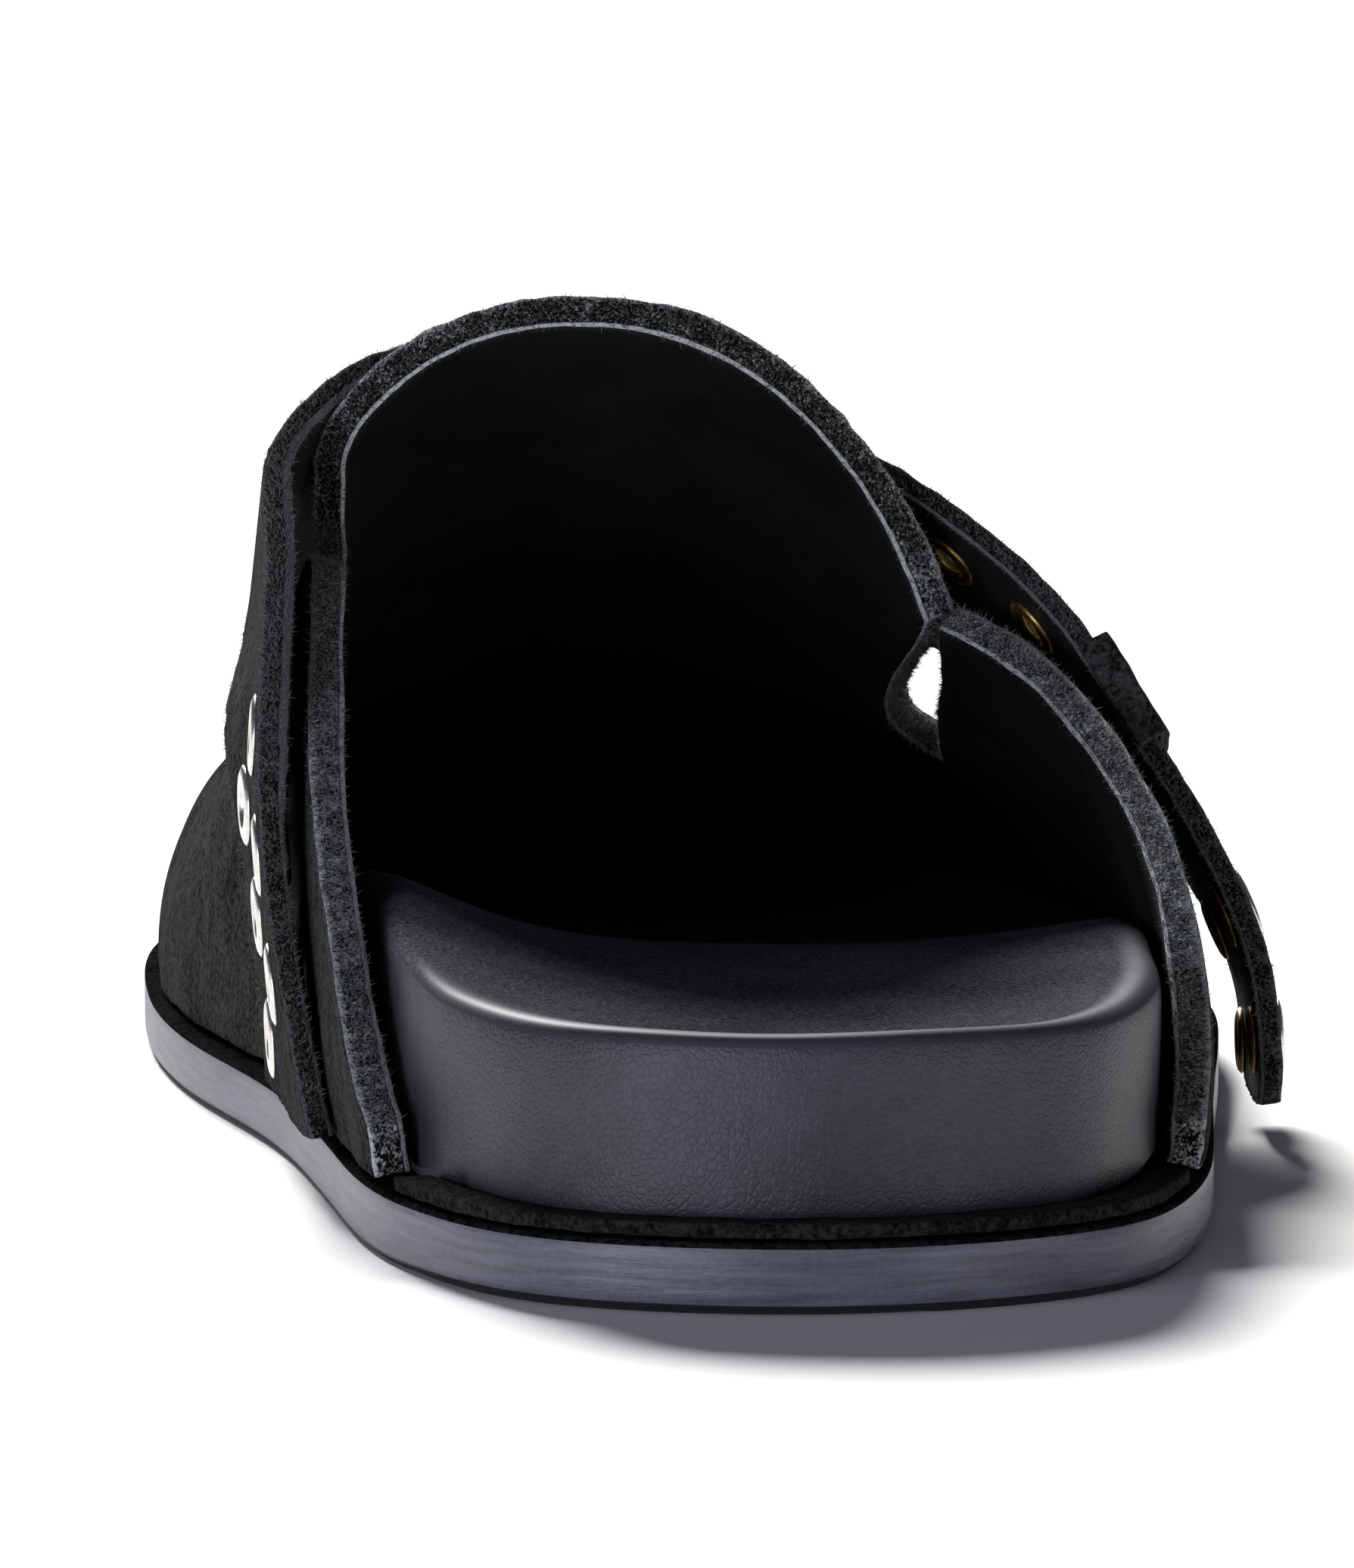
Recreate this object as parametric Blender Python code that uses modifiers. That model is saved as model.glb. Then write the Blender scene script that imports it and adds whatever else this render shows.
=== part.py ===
"""A right-foot mule: leather outsole, heel rand, moulded footbed, suede upper, eyelet strap and keeper.

Sizes are in millimetres on the last: x runs to the outer side of the foot, y from the heel to the toe and z up
from the floor. The finished pieces are in metres, with the origin under the middle of the outsole.
"""

import math

import bmesh
import bpy
import numpy as np
from mathutils import Matrix, Vector

MM = 0.001
GAP = 0.3

# Outsole: points of the outline of the right foot, one row each, heel round the outer side to the toe and back.
OUTLINE = np.array((
    # x, y
    (0.0, 0.0),
    (22.3, 10.0),
    (31.8, 32.0),
    (37.2, 62.0),
    (41.8, 95.0),
    (47.3, 129.0),
    (51.2, 165.0),
    (46.8, 200.0),
    (32.8, 230.5),
    (4.0, 249.0),
    (-27.2, 243.0),
    (-44.6, 215.0),
    (-47.4, 180.0),
    (-45.2, 140.0),
    (-38.2, 100.0),
    (-35.2, 60.0),
    (-32.4, 31.0),
    (-21.3, 7.2),
))
OUTLINE_STEPS = 40
HEEL_POLE_Y = 32.0
TOE_POLE_Y = 206.0
SOLE_THICKNESS = 5.5
SOLE_EDGE_BEVEL = 0.7
TOE_SPRING = 5.0
SPRING_START_Y = 175.0
TOE_TIP_Y = 249.0

# Ribs across the shoe: the stations of its sides, and how many ribs fan round the toe and the heel.
SOLE_STATIONS = (32.0, 45.0, 60.0, 78.0, 96.0, 114.0, 132.0, 150.0, 166.0, 180.0, 193.0, 206.0)
TOE_FAN = 13
HEEL_FAN = 13

# Upper: wall, and how far its foot stands in from the outsole's edge at the quarters and at the vamp.
WALL = 3.0
UPPER_INSET = np.array((
    # y, medial, lateral
    (36.0, 0.5, 0.5),
    (60.0, 0.6, 0.6),
    (85.0, 1.0, 0.9),
    (105.0, 1.8, 1.2),
    (125.0, 2.1, 1.3),
    (150.0, 1.5, 1.3),
    (206.0, 1.3, 1.3),
))
SIDE_BULGE = 1.2
BULGE_END_Y = (70.0, 110.0)
BULGE_HEIGHT = 6.0
UPPER_SEAT = 0.5
REAR_Y = 36.0
THROAT_Y = 124.0
SLIT_END_Y = 174.0
TONGUE_OVERHANG = 7.0
OVERHANG_END_Y = 150.0
UPPER_STATIONS = (36.0, 41.0, 48.0, 56.0, 66.0, 78.0, 90.0, 102.0, 113.0, 124.0, 130.0, 137.0, 145.0, 154.0,
                  164.0, 174.0, 185.0, 196.0, 206.0)
QUARTER_ROWS = 9
QUARTER_SHARES = (0.0, 0.025, *(i / (QUARTER_ROWS - 1) for i in range(1, QUARTER_ROWS)))
TONGUE_ROWS = 8
PROFILE_POINTS = 90

# Sections of the upper: height of the crest, its place across, and the roundness (superellipse exponent) and
# half width of its halves. The quarters and the tongue have their own sections behind the slits' end.
QUARTER_SECTIONS = np.array((
    # y, crest_x, medial_crest_z, lateral_crest_z, medial_round, lateral_round
    (36.0, -4.0, 84.0, 84.0, 3.2, 1.75),
    (66.0, -6.0, 80.0, 80.0, 3.4, 1.75),
    (96.0, -8.0, 74.0, 74.0, 3.3, 1.68),
    (124.0, -9.5, 65.0, 62.0, 2.7, 1.60),
    (130.0, -9.1, 60.5, 56.0, 2.6, 1.60),
    (140.0, -8.5, 54.0, 49.5, 2.5, 1.60),
    (155.0, -7.5, 45.5, 43.6, 2.4, 1.62),
    (174.0, -6.0, 39.2, 39.2, 2.3, 1.70),
    (190.0, -4.0, 37.8, 37.8, 2.3, 1.80),
    (206.0, -2.0, 37.2, 37.2, 2.3, 1.95),
))
TONGUE_SECTIONS = np.array((
    # y, crest_x, crest_z, medial_round, lateral_round, medial_half, lateral_half
    (114.0, -10.5, 73.8, 2.6, 2.20, 36.2, 39.4),
    (124.0, -9.5, 70.1, 2.6, 2.20, 35.8, 39.4),
    (140.0, -8.5, 59.5, 2.5, 2.05, 33.0, 37.6),
    (155.0, -7.5, 49.5, 2.4, 1.90, 35.8, 40.5),
    (165.0, -6.7, 43.6, 2.35, 1.80, 37.9, 46.5),
    (174.0, -6.0, 39.2, 2.3, 1.70, 39.8, 55.0),
))
# Height of the quarters' rear edge.
COLLAR = np.array((
    # y, medial_z, lateral_z
    (36.0, 10.0, 10.0),
    (41.0, 12.5, 13.0),
    (48.0, 16.5, 17.0),
    (56.0, 21.0, 21.5),
    (66.0, 26.5, 26.0),
    (78.0, 33.0, 30.0),
    (90.0, 39.5, 34.0),
    (102.0, 46.0, 38.0),
    (113.0, 51.0, 42.0),
    (124.0, 48.8, 45.0),
))
# The two slits: height of the quarter's edge and of the tongue's edge, and how far the tongue curls inwards.
SLITS = np.array((
    # y, medial_quarter_z, medial_tongue_z, medial_curl, lateral_quarter_z, lateral_tongue_z, lateral_curl
    (114.0, 52.0, 55.5, 4.2, 49.0, 48.0, 0.6),
    (124.0, 48.8, 52.6, 4.2, 45.0, 44.5, 0.6),
    (130.0, 45.6, 50.0, 3.2, 40.6, 42.0, 0.5),
    (137.0, 41.8, 46.2, 2.0, 37.6, 39.6, 0.4),
    (145.0, 38.0, 41.8, 1.0, 35.0, 37.2, 0.2),
    (154.0, 34.6, 37.8, 0.2, 32.8, 35.0, 0.0),
    (164.0, 31.6, 33.8, 0.0, 30.8, 32.4, 0.0),
    (174.0, 29.6, 29.6, 0.0, 29.2, 29.2, 0.0),
))
CURL_HEIGHT = 8.0

# Footbed: heights of its middle and of its two raised edges.
FOOTBED = np.array((
    # y, middle_z, medial_z, lateral_z
    (0.0, 18.6, 20.8, 20.8),
    (32.0, 17.6, 21.6, 20.6),
    (60.0, 18.4, 24.4, 20.8),
    (88.0, 18.6, 26.0, 21.0),
    (120.0, 14.6, 21.0, 16.6),
    (150.0, 11.6, 14.0, 12.8),
    (180.0, 10.6, 11.8, 11.6),
    (206.0, 11.0, 12.0, 12.0),
    (249.0, 15.0, 16.0, 16.0),
))
FOOTBED_CLEARANCE = 0.45
FOOTBED_HEEL_INSET = 4.4
FOOTBED_LEAN = 1.2
TOE_LEAN = 2.2
RIM_ROUND = 1.8
ARCH_ROUND = 2.2
ARCH_Y = (45.0, 85.0, 125.0)

# Heel rand: the strip on the ledge round the heel.
RAND_THICKNESS = 1.1
RAND_INSET = 0.5
RAND_END_Y = 34.8
RAND_FAN = 25

# Strap: its middle line on the inner face, the turn and the lean of its width, and half its width. Low on the
# inner side it follows the quarter, with a gap that opens upwards.
STRAP = np.array((
    # x, y, z, turn_deg, lean_deg, half_width
    (-37.0, 80.5, -3.0, -3.0, 24.0, 23.0),
    (-38.6, 88.0, 15.5, -3.0, 25.0, 15.8),
    (-38.6, 95.5, 31.0, -2.0, 28.0, 13.4),
    (-37.2, 111.0, 43.8, -1.0, 31.0, 12.8),
    (-35.1, 131.7, 53.2, -1.5, 34.0, 13.2),
    (-27.1, 139.7, 58.4, 0.0, 33.0, 13.6),
    (-10.4, 144.5, 58.4, 0.0, 33.0, 13.6),
    (8.0, 145.0, 53.2, 2.0, 31.0, 13.8),
    (22.6, 137.0, 45.8, 4.0, 28.0, 13.8),
    (33.5, 125.0, 36.8, 6.0, 21.0, 13.4),
    (36.7, 120.0, 31.8, 6.0, 17.5, 13.0),
    (41.1, 114.6, 25.2, 6.0, 14.0, 12.6),
    (46.2, 108.5, 13.6, 5.0, 9.0, 12.0),
    (46.8, 105.5, 1.8, 4.0, 5.0, 11.4),
))
STRAP_GAP = 0.45
STRAP_STANDOFF = 1.9
STANDOFF_Z = (8.0, 38.0)
HUG_Z = (32.0, 46.0)
STRAP_THICKNESS = 2.0
STRAP_STEPS = 60
STRAP_COLUMNS = 8
STRAP_BASE_Z = 5.9
STRAP_END_CORNER = 4.0
STRAP_END_SLANT = 2.5

# Eyelets: flat washers in pairs along the strap.
EYELET_RADIUS = 3.5
EYELET_HOLE_RADIUS = 1.6
EYELET_THICKNESS = 0.5
EYELET_STEPS = 12
EYELET_PITCH = 10.9
EYELET_ROW = 7.25
EYELET_FIRST = 18.0
EYELET_LAST_MARGIN = 6.0
EYELET_LIFT = 0.25
# Stretch of the strap, round the inner shoulder, that has no eyelets.
BARE_RUN = (46.0, 84.0)

# Keeper: suede loop round the strap, low on the outer shoulder.
KEEPER_AT = 0.818
KEEPER_LENGTH = 10.6
KEEPER_THICKNESS = 1.2
KEEPER_SIDE_GAP = 0.8
KEEPER_MARGIN = 1.5
KEEPER_SLICES = 5

COLOURS = {
    # base colour, roughness, metallic
    "sole_leather": ((0.030, 0.029, 0.030), 0.50, 0.0),
    "rand_suede": ((0.075, 0.067, 0.062), 0.90, 0.0),
    "footbed_leather": ((0.012, 0.012, 0.013), 0.45, 0.0),
    "upper_suede": ((0.012, 0.011, 0.011), 0.95, 0.0),
    "strap_suede": ((0.012, 0.011, 0.011), 0.95, 0.0),
    "eyelet_metal": ((0.78, 0.74, 0.68), 0.25, 1.0),
}


def closed_curve(points, steps):
    """A smooth closed curve through the points, with so many steps between two of them."""
    before = np.roll(points, 1, axis=0)
    after = np.roll(points, -1, axis=0)
    back = np.linalg.norm(points - before, axis=1)[:, None]
    ahead = np.linalg.norm(after - points, axis=1)[:, None]
    tangent = ((points - before) / back * ahead + (after - points) / ahead * back) / (back + ahead)
    t = np.linspace(0.0, 1.0, steps, endpoint=False)[None, :, None]
    start, end = points[:, None], after[:, None]
    lead, trail = (tangent * ahead)[:, None], (np.roll(tangent, -1, axis=0) * ahead)[:, None]
    curve = (
        (2 * t**3 - 3 * t**2 + 1) * start
        + (t**3 - 2 * t**2 + t) * lead
        + (3 * t**2 - 2 * t**3) * end
        + (t**3 - t**2) * trail
    )
    return curve.reshape(-1, points.shape[1])


def smooth_rows(table, at):
    """The table's other columns where its first column has the value at, on a smooth curve through the rows."""
    keys, values = table[:, 0], table[:, 1:]
    at = min(max(at, keys[0]), keys[-1])
    slopes = np.gradient(values, keys, axis=0)
    row = min(int(np.searchsorted(keys, at, side="right")) - 1, len(keys) - 2)
    step = keys[row + 1] - keys[row]
    t = (at - keys[row]) / step
    return (
        (2 * t**3 - 3 * t**2 + 1) * values[row]
        + (t**3 - 2 * t**2 + t) * step * slopes[row]
        + (3 * t**2 - 2 * t**3) * values[row + 1]
        + (t**3 - t**2) * step * slopes[row + 1]
    )


def ease(value, start, end):
    """0 before start, 1 after end, and a smooth step between."""
    t = min(max((value - start) / (end - start), 0.0), 1.0)
    return t * t * (3 - 2 * t)


EDGE = closed_curve(OUTLINE, OUTLINE_STEPS)
EDGE_TANGENT = np.roll(EDGE, -1, axis=0) - np.roll(EDGE, 1, axis=0)
EDGE_TANGENT = EDGE_TANGENT / np.linalg.norm(EDGE_TANGENT, axis=1)[:, None]
EDGE_OUT = np.stack([EDGE_TANGENT[:, 1], -EDGE_TANGENT[:, 0]], axis=1)
MEDIAL, LATERAL = -1, 1


def spring(y):
    """Rise of the sole towards the toe."""
    return TOE_SPRING * max((y - SPRING_START_Y) / (TOE_TIP_Y - SPRING_START_Y), 0.0) ** 2


def side_foot(y, side):
    """The outline's point at y on one side of the foot, and its outward direction."""
    on_side = (np.sign(EDGE[:, 0]) == side) & (EDGE[:, 1] > 20.0) & (EDGE[:, 1] < 225.0)
    edge, out = EDGE[on_side], EDGE_OUT[on_side]
    order = np.argsort(edge[:, 1])
    edge, out = edge[order], out[order]
    foot = np.array([np.interp(y, edge[:, 1], edge[:, 0]), y])
    outward = np.array([np.interp(y, edge[:, 1], out[:, i]) for i in range(2)])
    return foot, outward / np.linalg.norm(outward)


def fan_feet(start_index, stop_index, pole_y, count):
    """Points of the outline round the toe or the heel, evenly spaced, with their outward directions."""
    index = np.arange(start_index, stop_index) % len(EDGE)
    beyond = EDGE[index, 1] > pole_y if pole_y > 100 else EDGE[index, 1] < pole_y
    index = index[beyond]
    edge, out = EDGE[index], EDGE_OUT[index]
    run = np.concatenate([[0.0], np.cumsum(np.linalg.norm(np.diff(edge, axis=0), axis=1))])
    at = np.linspace(0.0, run[-1], count + 2)[1:-1]
    feet = np.stack([np.interp(at, run, edge[:, i]) for i in range(2)], axis=1)
    outs = np.stack([np.interp(at, run, out[:, i]) for i in range(2)], axis=1)
    return list(zip(feet, outs))


def toe_fan(count):
    """Feet round the toe, from the inner side to the outer side."""
    row = OUTLINE_STEPS * 6
    return fan_feet(row, row + OUTLINE_STEPS * 7, TOE_POLE_Y, count)[::-1]


def heel_fan(count, pole_y=HEEL_POLE_Y):
    """Feet round the heel, from the outer side to the inner side."""
    row = OUTLINE_STEPS * 14
    return fan_feet(row, row + OUTLINE_STEPS * 8, pole_y, count)[::-1]


def middle_x(y):
    """The middle of the foot across, at y."""
    return (side_foot(y, MEDIAL)[0][0] + side_foot(y, LATERAL)[0][0]) / 2


def sole_ribs():
    """Ribs all round the sole: foot, outward direction, and the point of the middle line that each one runs to."""
    ribs = []
    for y in SOLE_STATIONS:
        ribs.append((*side_foot(y, MEDIAL), np.array([middle_x(y), y])))
    toe = np.array([middle_x(TOE_POLE_Y), TOE_POLE_Y])
    ribs += [(foot, out, toe) for foot, out in toe_fan(TOE_FAN)]
    for y in reversed(SOLE_STATIONS):
        ribs.append((*side_foot(y, LATERAL), np.array([middle_x(y), y])))
    heel = np.array([middle_x(HEEL_POLE_Y), HEEL_POLE_Y])
    ribs += [(foot, out, heel) for foot, out in heel_fan(HEEL_FAN)]
    return ribs


def new_object(name, colour, points, faces, closed=True):
    """A mesh object from points on the last, merged where they meet, with its material."""
    mesh = bpy.data.meshes.new(name)
    shape = bmesh.new()
    corners = [shape.verts.new(Vector(np.asarray(p) * MM)) for p in points]
    for face in faces:
        shape.faces.new([corners[i] for i in face])
    bmesh.ops.remove_doubles(shape, verts=shape.verts, dist=1e-7)
    if closed:
        bmesh.ops.recalc_face_normals(shape, faces=shape.faces)
    shape.to_mesh(mesh)
    shape.free()
    mesh.materials.append(material(colour))
    mesh.shade_smooth()
    obj = bpy.data.objects.new(name, mesh)
    bpy.data.collections["mule"].objects.link(obj)
    return obj


def material(name):
    """The Principled material of that name."""
    found = bpy.data.materials.get(name)
    if found:
        return found
    colour, roughness, metallic = COLOURS[name]
    found = bpy.data.materials.new(name)
    found.use_nodes = True
    shader = found.node_tree.nodes["Principled BSDF"]
    shader.inputs["Base Color"].default_value = (*colour, 1.0)
    shader.inputs["Roughness"].default_value = roughness
    shader.inputs["Metallic"].default_value = metallic
    return found


def grid_faces(first, rows, columns, close=False):
    """Quads of a grid whose points start at first and run row by row."""
    faces = []
    for r in range(rows if close else rows - 1):
        here, there = first + r * columns, first + (r + 1) % rows * columns
        for c in range(columns - 1):
            faces.append((here + c, here + c + 1, there + c + 1, there + c))
    return faces


def towards(rib, inset, share):
    """A point on a rib: so far in from the outline, then a share of the way to the middle line."""
    foot, out, middle = rib
    edge = foot - out * inset
    return edge + (middle - edge) * share


def outsole():
    """Flat leather sole with its edge, a small bevel and the toe spring."""
    bevel = SOLE_EDGE_BEVEL
    rings = (
        # inset, share of the way in, height
        (bevel, 1.0, 0.0),
        (bevel, 0.5, 0.0),
        (bevel, 0.0, 0.0),
        (0.0, 0.0, bevel),
        (0.0, 0.0, SOLE_THICKNESS - bevel / 2),
        (bevel / 2, 0.0, SOLE_THICKNESS),
        (bevel, 0.5, SOLE_THICKNESS),
        (bevel, 1.0, SOLE_THICKNESS),
    )
    points = []
    ribs = sole_ribs()
    for rib in ribs:
        for inset, share, height in rings:
            x, y = towards(rib, inset, share)
            points.append((x, y, height + spring(y)))
    return new_object("outsole", "sole_leather", points, grid_faces(0, len(ribs), len(rings), close=True))


def upper_inset(foot):
    """How far the upper's foot stands in from the outsole's edge."""
    medial, lateral = smooth_rows(UPPER_INSET, foot[1])
    return medial if foot[0] < 0 else lateral


def footbed_inset(foot, out, rim_z):
    """How far the footbed stands in from the outsole's edge, inside the upper and round the heel."""
    y = foot[1]
    inside = upper_inset(foot) + WALL + FOOTBED_CLEARANCE
    if y > TOE_POLE_Y:
        return inside + TOE_LEAN
    profile = quarter_profile(y, MEDIAL if foot[0] < 0 else LATERAL)
    lean = np.dot(profile[0][:2] - along(profile, reach_at(profile, rim_z))[:2], out)
    inside += FOOTBED_LEAN * max(lean, 0.0) * ease(y, HEEL_POLE_Y, BULGE_END_Y[0])
    return inside + (FOOTBED_HEEL_INSET - inside) * ease(HEEL_POLE_Y - y, 0.0, HEEL_POLE_Y)


def footbed():
    """Moulded block with a heel cup, raised edges and a rounded rim."""
    points = []
    ribs = sole_ribs()
    for rib in ribs:
        foot = rib[0]
        middle_z, medial_z, lateral_z = smooth_rows(FOOTBED, foot[1])
        across = foot[0] / 30.0
        rim_z = medial_z + (lateral_z - medial_z) * ease(across, -1.0, 1.0)
        base_z = SOLE_THICKNESS + GAP + spring(foot[1])
        inset = footbed_inset(foot, rib[1], rim_z)
        centre_z = smooth_rows(FOOTBED, rib[2][1])[0]
        start, peak, end = ARCH_Y
        arch = min(ease(foot[1], start, peak), 1 - ease(foot[1], peak, end)) if foot[0] < 0 else 0.0
        rounding = RIM_ROUND + ARCH_ROUND * arch
        rings = (
            # further inset, share of the way in, height
            (0.0, 1.0, SOLE_THICKNESS + GAP + spring(rib[2][1])),
            (0.0, 0.0, base_z),
            (0.0, 0.0, rim_z - rounding),
            (0.3 * rounding, 0.0, rim_z - 0.3 * rounding),
            (rounding, 0.0, rim_z),
            (rounding, 0.2, rim_z + (middle_z - rim_z) * 0.45),
            (rounding, 0.5, rim_z + (centre_z - rim_z) * 0.85),
            (rounding, 1.0, centre_z),
        )
        for further, share, height in rings:
            x, y = towards(rib, inset + further, share)
            points.append((x, y, height))
    return new_object("footbed", "footbed_leather", points, grid_faces(0, len(ribs), len(rings), close=True))


def heel_rand():
    """Thin strip on the ledge between the footbed and the outsole's edge, round the heel."""
    points = []
    low = SOLE_THICKNESS + GAP
    feet = heel_fan(RAND_FAN, RAND_END_Y)
    for foot, out in feet:
        outer = foot - out * RAND_INSET
        inner = foot - out * (footbed_inset(foot, out, low) - GAP)
        points += [(*outer, low), (*outer, low + RAND_THICKNESS), (*inner, low + RAND_THICKNESS), (*inner, low)]
    faces = []
    for i in range(len(feet) - 1):
        for c in range(4):
            d = (c + 1) % 4
            faces.append((i * 4 + c, i * 4 + d, i * 4 + 4 + d, i * 4 + 4 + c))
    last = len(points) - 4
    faces += [(0, 1, 2, 3), (last, last + 1, last + 2, last + 3)]
    return new_object("heel_rand", "rand_suede", points, faces)


def rib_profile(foot, out, crest, roundness, half=None):
    """Points of the upper's outer face from its foot up to the crest, as a superellipse quarter."""
    base = np.array([*(foot - out * upper_inset(foot)), SOLE_THICKNESS + UPPER_SEAT + spring(foot[1])])
    run = base[:2] - crest[:2]
    if half is not None:
        run = run / np.linalg.norm(run) * half
    t = np.linspace(0.0, math.pi / 2, PROFILE_POINTS) ** 1.5 / (math.pi / 2) ** 0.5
    level = np.clip(np.cos(t), 0.0, 1.0) ** (2 / roundness)
    rise = np.clip(np.sin(t), 0.0, 1.0) ** (2 / roundness)
    height = base[2] + (crest[2] - base[2]) * rise
    bulge = SIDE_BULGE * (1 - ease(foot[1], *BULGE_END_Y))
    swell = bulge * (1 - np.exp(-(height - base[2]) / BULGE_HEIGHT)) * level
    flat = crest[:2] + run * level[:, None] + out * swell[:, None]
    return np.column_stack([flat, height])


def reach_at(profile, height):
    """How far along a profile, from 0 at its foot to 1 at its crest, it is this high."""
    run = np.concatenate([[0.0], np.cumsum(np.linalg.norm(np.diff(profile, axis=0), axis=1))])
    return np.interp(height, profile[:, 2], run / run[-1])


def along(profile, reach):
    """The point of a profile at this share of its length."""
    run = np.concatenate([[0.0], np.cumsum(np.linalg.norm(np.diff(profile, axis=0), axis=1))])
    return np.array([np.interp(reach * run[-1], run, profile[:, i]) for i in range(3)])


def quarter_profile(y, side):
    """The upper's section at y on one side, as the quarters and the vamp have it."""
    crest_x, medial_z, lateral_z, medial_round, lateral_round = smooth_rows(QUARTER_SECTIONS, y)
    foot, out = side_foot(y, side)
    if y > SLIT_END_Y:
        medial_z = lateral_z = (medial_z + lateral_z) / 2
    if side == MEDIAL:
        return rib_profile(foot, out, np.array([crest_x, y, medial_z]), medial_round)
    return rib_profile(foot, out, np.array([crest_x, y, lateral_z]), lateral_round)


def tongue_profile(y, side):
    """The upper's section at y on one side, as the tongue has it."""
    if y >= SLIT_END_Y:
        return quarter_profile(y, side)
    crest_x, crest_z, medial_round, lateral_round, medial_half, lateral_half = smooth_rows(TONGUE_SECTIONS, y)
    foot, out = side_foot(y, side)
    crest = np.array([crest_x, y, crest_z])
    if side == MEDIAL:
        return rib_profile(foot, out, crest, medial_round, medial_half)
    return rib_profile(foot, out, crest, lateral_round, lateral_half)


def slit_row(y, side):
    """Heights of the quarter's edge and the tongue's edge at a slit, and the tongue's curl there."""
    row = smooth_rows(SLITS, y)
    return row[:3] if side == MEDIAL else row[3:]


def quarter_points(y, side):
    """A column of points from the sole up to the collar, the slit or the line that continues it."""
    profile = quarter_profile(y, side)
    if y <= THROAT_Y:
        medial_z, lateral_z = smooth_rows(COLLAR, y)
        top = medial_z if side == MEDIAL else lateral_z
    else:
        top = slit_row(y, side)[0]
    reach = reach_at(profile, top) if y <= SLIT_END_Y else vamp_reach(y, side)
    return [along(profile, reach * share) for share in QUARTER_SHARES]


def vamp_reach(y, side):
    """The slit's line carried on over the vamp, as a share of the section's length."""
    end = reach_at(quarter_profile(SLIT_END_Y, side), slit_row(SLIT_END_Y, side)[0])
    return end + (0.5 - end) * ease(y, SLIT_END_Y, TOE_POLE_Y)


def tongue_points(y, side):
    """A column of points from the slit up to the crest. The tongue's rear edge reaches back at its crest."""
    points = []
    for i in range(TONGUE_ROWS + 1):
        share = i / TONGUE_ROWS
        back = TONGUE_OVERHANG * ease(share, 0.0, 1.0) * (1 - ease(y, THROAT_Y, OVERHANG_END_Y))
        profile = tongue_profile(y - back, side)
        if y >= SLIT_END_Y:
            start, curl = vamp_reach(y, side), 0.0
        else:
            edge_z, curl = slit_row(y - back, side)[1:]
            start = reach_at(profile, edge_z)
        point = along(profile, start + (1 - start) * share)
        if curl > 0 and share < 1:
            inwards = curl * (1 - ease(point[2], edge_z, edge_z + CURL_HEIGHT))
            point[0] -= side * inwards
        points.append(point)
    return points


def upper():
    """Suede shell over the vamp, with two quarters, and a tongue between two slits."""
    columns = []
    for y in UPPER_STATIONS:
        columns.append((quarter_points(y, MEDIAL), tongue_points(y, MEDIAL) if y >= THROAT_Y else None))
    crest_x, crest_z, _, medial_round, lateral_round = smooth_rows(QUARTER_SECTIONS, TOE_POLE_Y)
    crest = np.array([crest_x, TOE_POLE_Y, crest_z])
    for i, (foot, out) in enumerate(toe_fan(TOE_FAN)):
        share = (i + 1) / (TOE_FAN + 1)
        profile = rib_profile(foot, out, crest, medial_round + (lateral_round - medial_round) * share)
        low = [along(profile, 0.5 * k) for k in QUARTER_SHARES]
        high = [along(profile, 0.5 + 0.5 * k / TONGUE_ROWS) for k in range(TONGUE_ROWS + 1)]
        columns.append((low, high))
    for y in reversed(UPPER_STATIONS):
        columns.append((quarter_points(y, LATERAL), tongue_points(y, LATERAL) if y >= THROAT_Y else None))
    points = [p for low, _ in columns for p in low]
    faces = grid_faces(0, len(columns), QUARTER_ROWS + 1)
    tongue = [high for _, high in columns if high is not None]
    faces += grid_faces(len(points), len(tongue), TONGUE_ROWS + 1)
    points += [p for high in tongue for p in high]
    shell = new_object("upper", "upper_suede", points, faces, closed=False)
    wall = shell.modifiers.new("wall", "SOLIDIFY")
    wall.thickness = WALL * MM
    wall.offset = -1.0
    wall.use_even_offset = True
    return shell


STRAP_LINE = STRAP[:, :3]
STRAP_RUN = np.concatenate([[0.0], np.cumsum(np.linalg.norm(np.diff(STRAP_LINE, axis=0), axis=1))])
STRAP_TABLE = np.column_stack([STRAP_RUN, STRAP])
STRAP_LENGTH = STRAP_RUN[-1]


def half_width(run):
    """Half the strap's width at this run."""
    return smooth_rows(STRAP_TABLE, run)[5]


def strap_skin(run, across):
    """A point of the strap's inner face. Low on the inner side it follows the quarter."""
    row = smooth_rows(STRAP_TABLE, run)
    turn, lean = math.radians(row[3]), math.radians(row[4])
    width = np.array([math.sin(turn) * math.cos(lean), math.cos(turn) * math.cos(lean), -math.sin(lean)])
    point = row[:3] + width * across
    if run > STRAP_LENGTH / 2 or point[2] > HUG_Z[1]:
        return point
    profile = quarter_profile(point[1], MEDIAL)
    wall = along(profile, reach_at(profile, point[2]))[0]
    beside = wall - STRAP_GAP - STRAP_STANDOFF * ease(point[2], *STANDOFF_Z)
    point[0] += (beside - point[0]) * (1 - ease(point[2], *HUG_Z))
    return point


def strap_axes(run, across):
    """Length, width and outward directions of the strap's inner face at a point."""
    length = strap_skin(run + 0.5, across) - strap_skin(run - 0.5, across)
    width = strap_skin(run, across + 0.5) - strap_skin(run, across - 0.5)
    out = np.cross(length, width)
    width = np.cross(out, length)
    return [axis / np.linalg.norm(axis) for axis in (length, width, out)]


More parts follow.
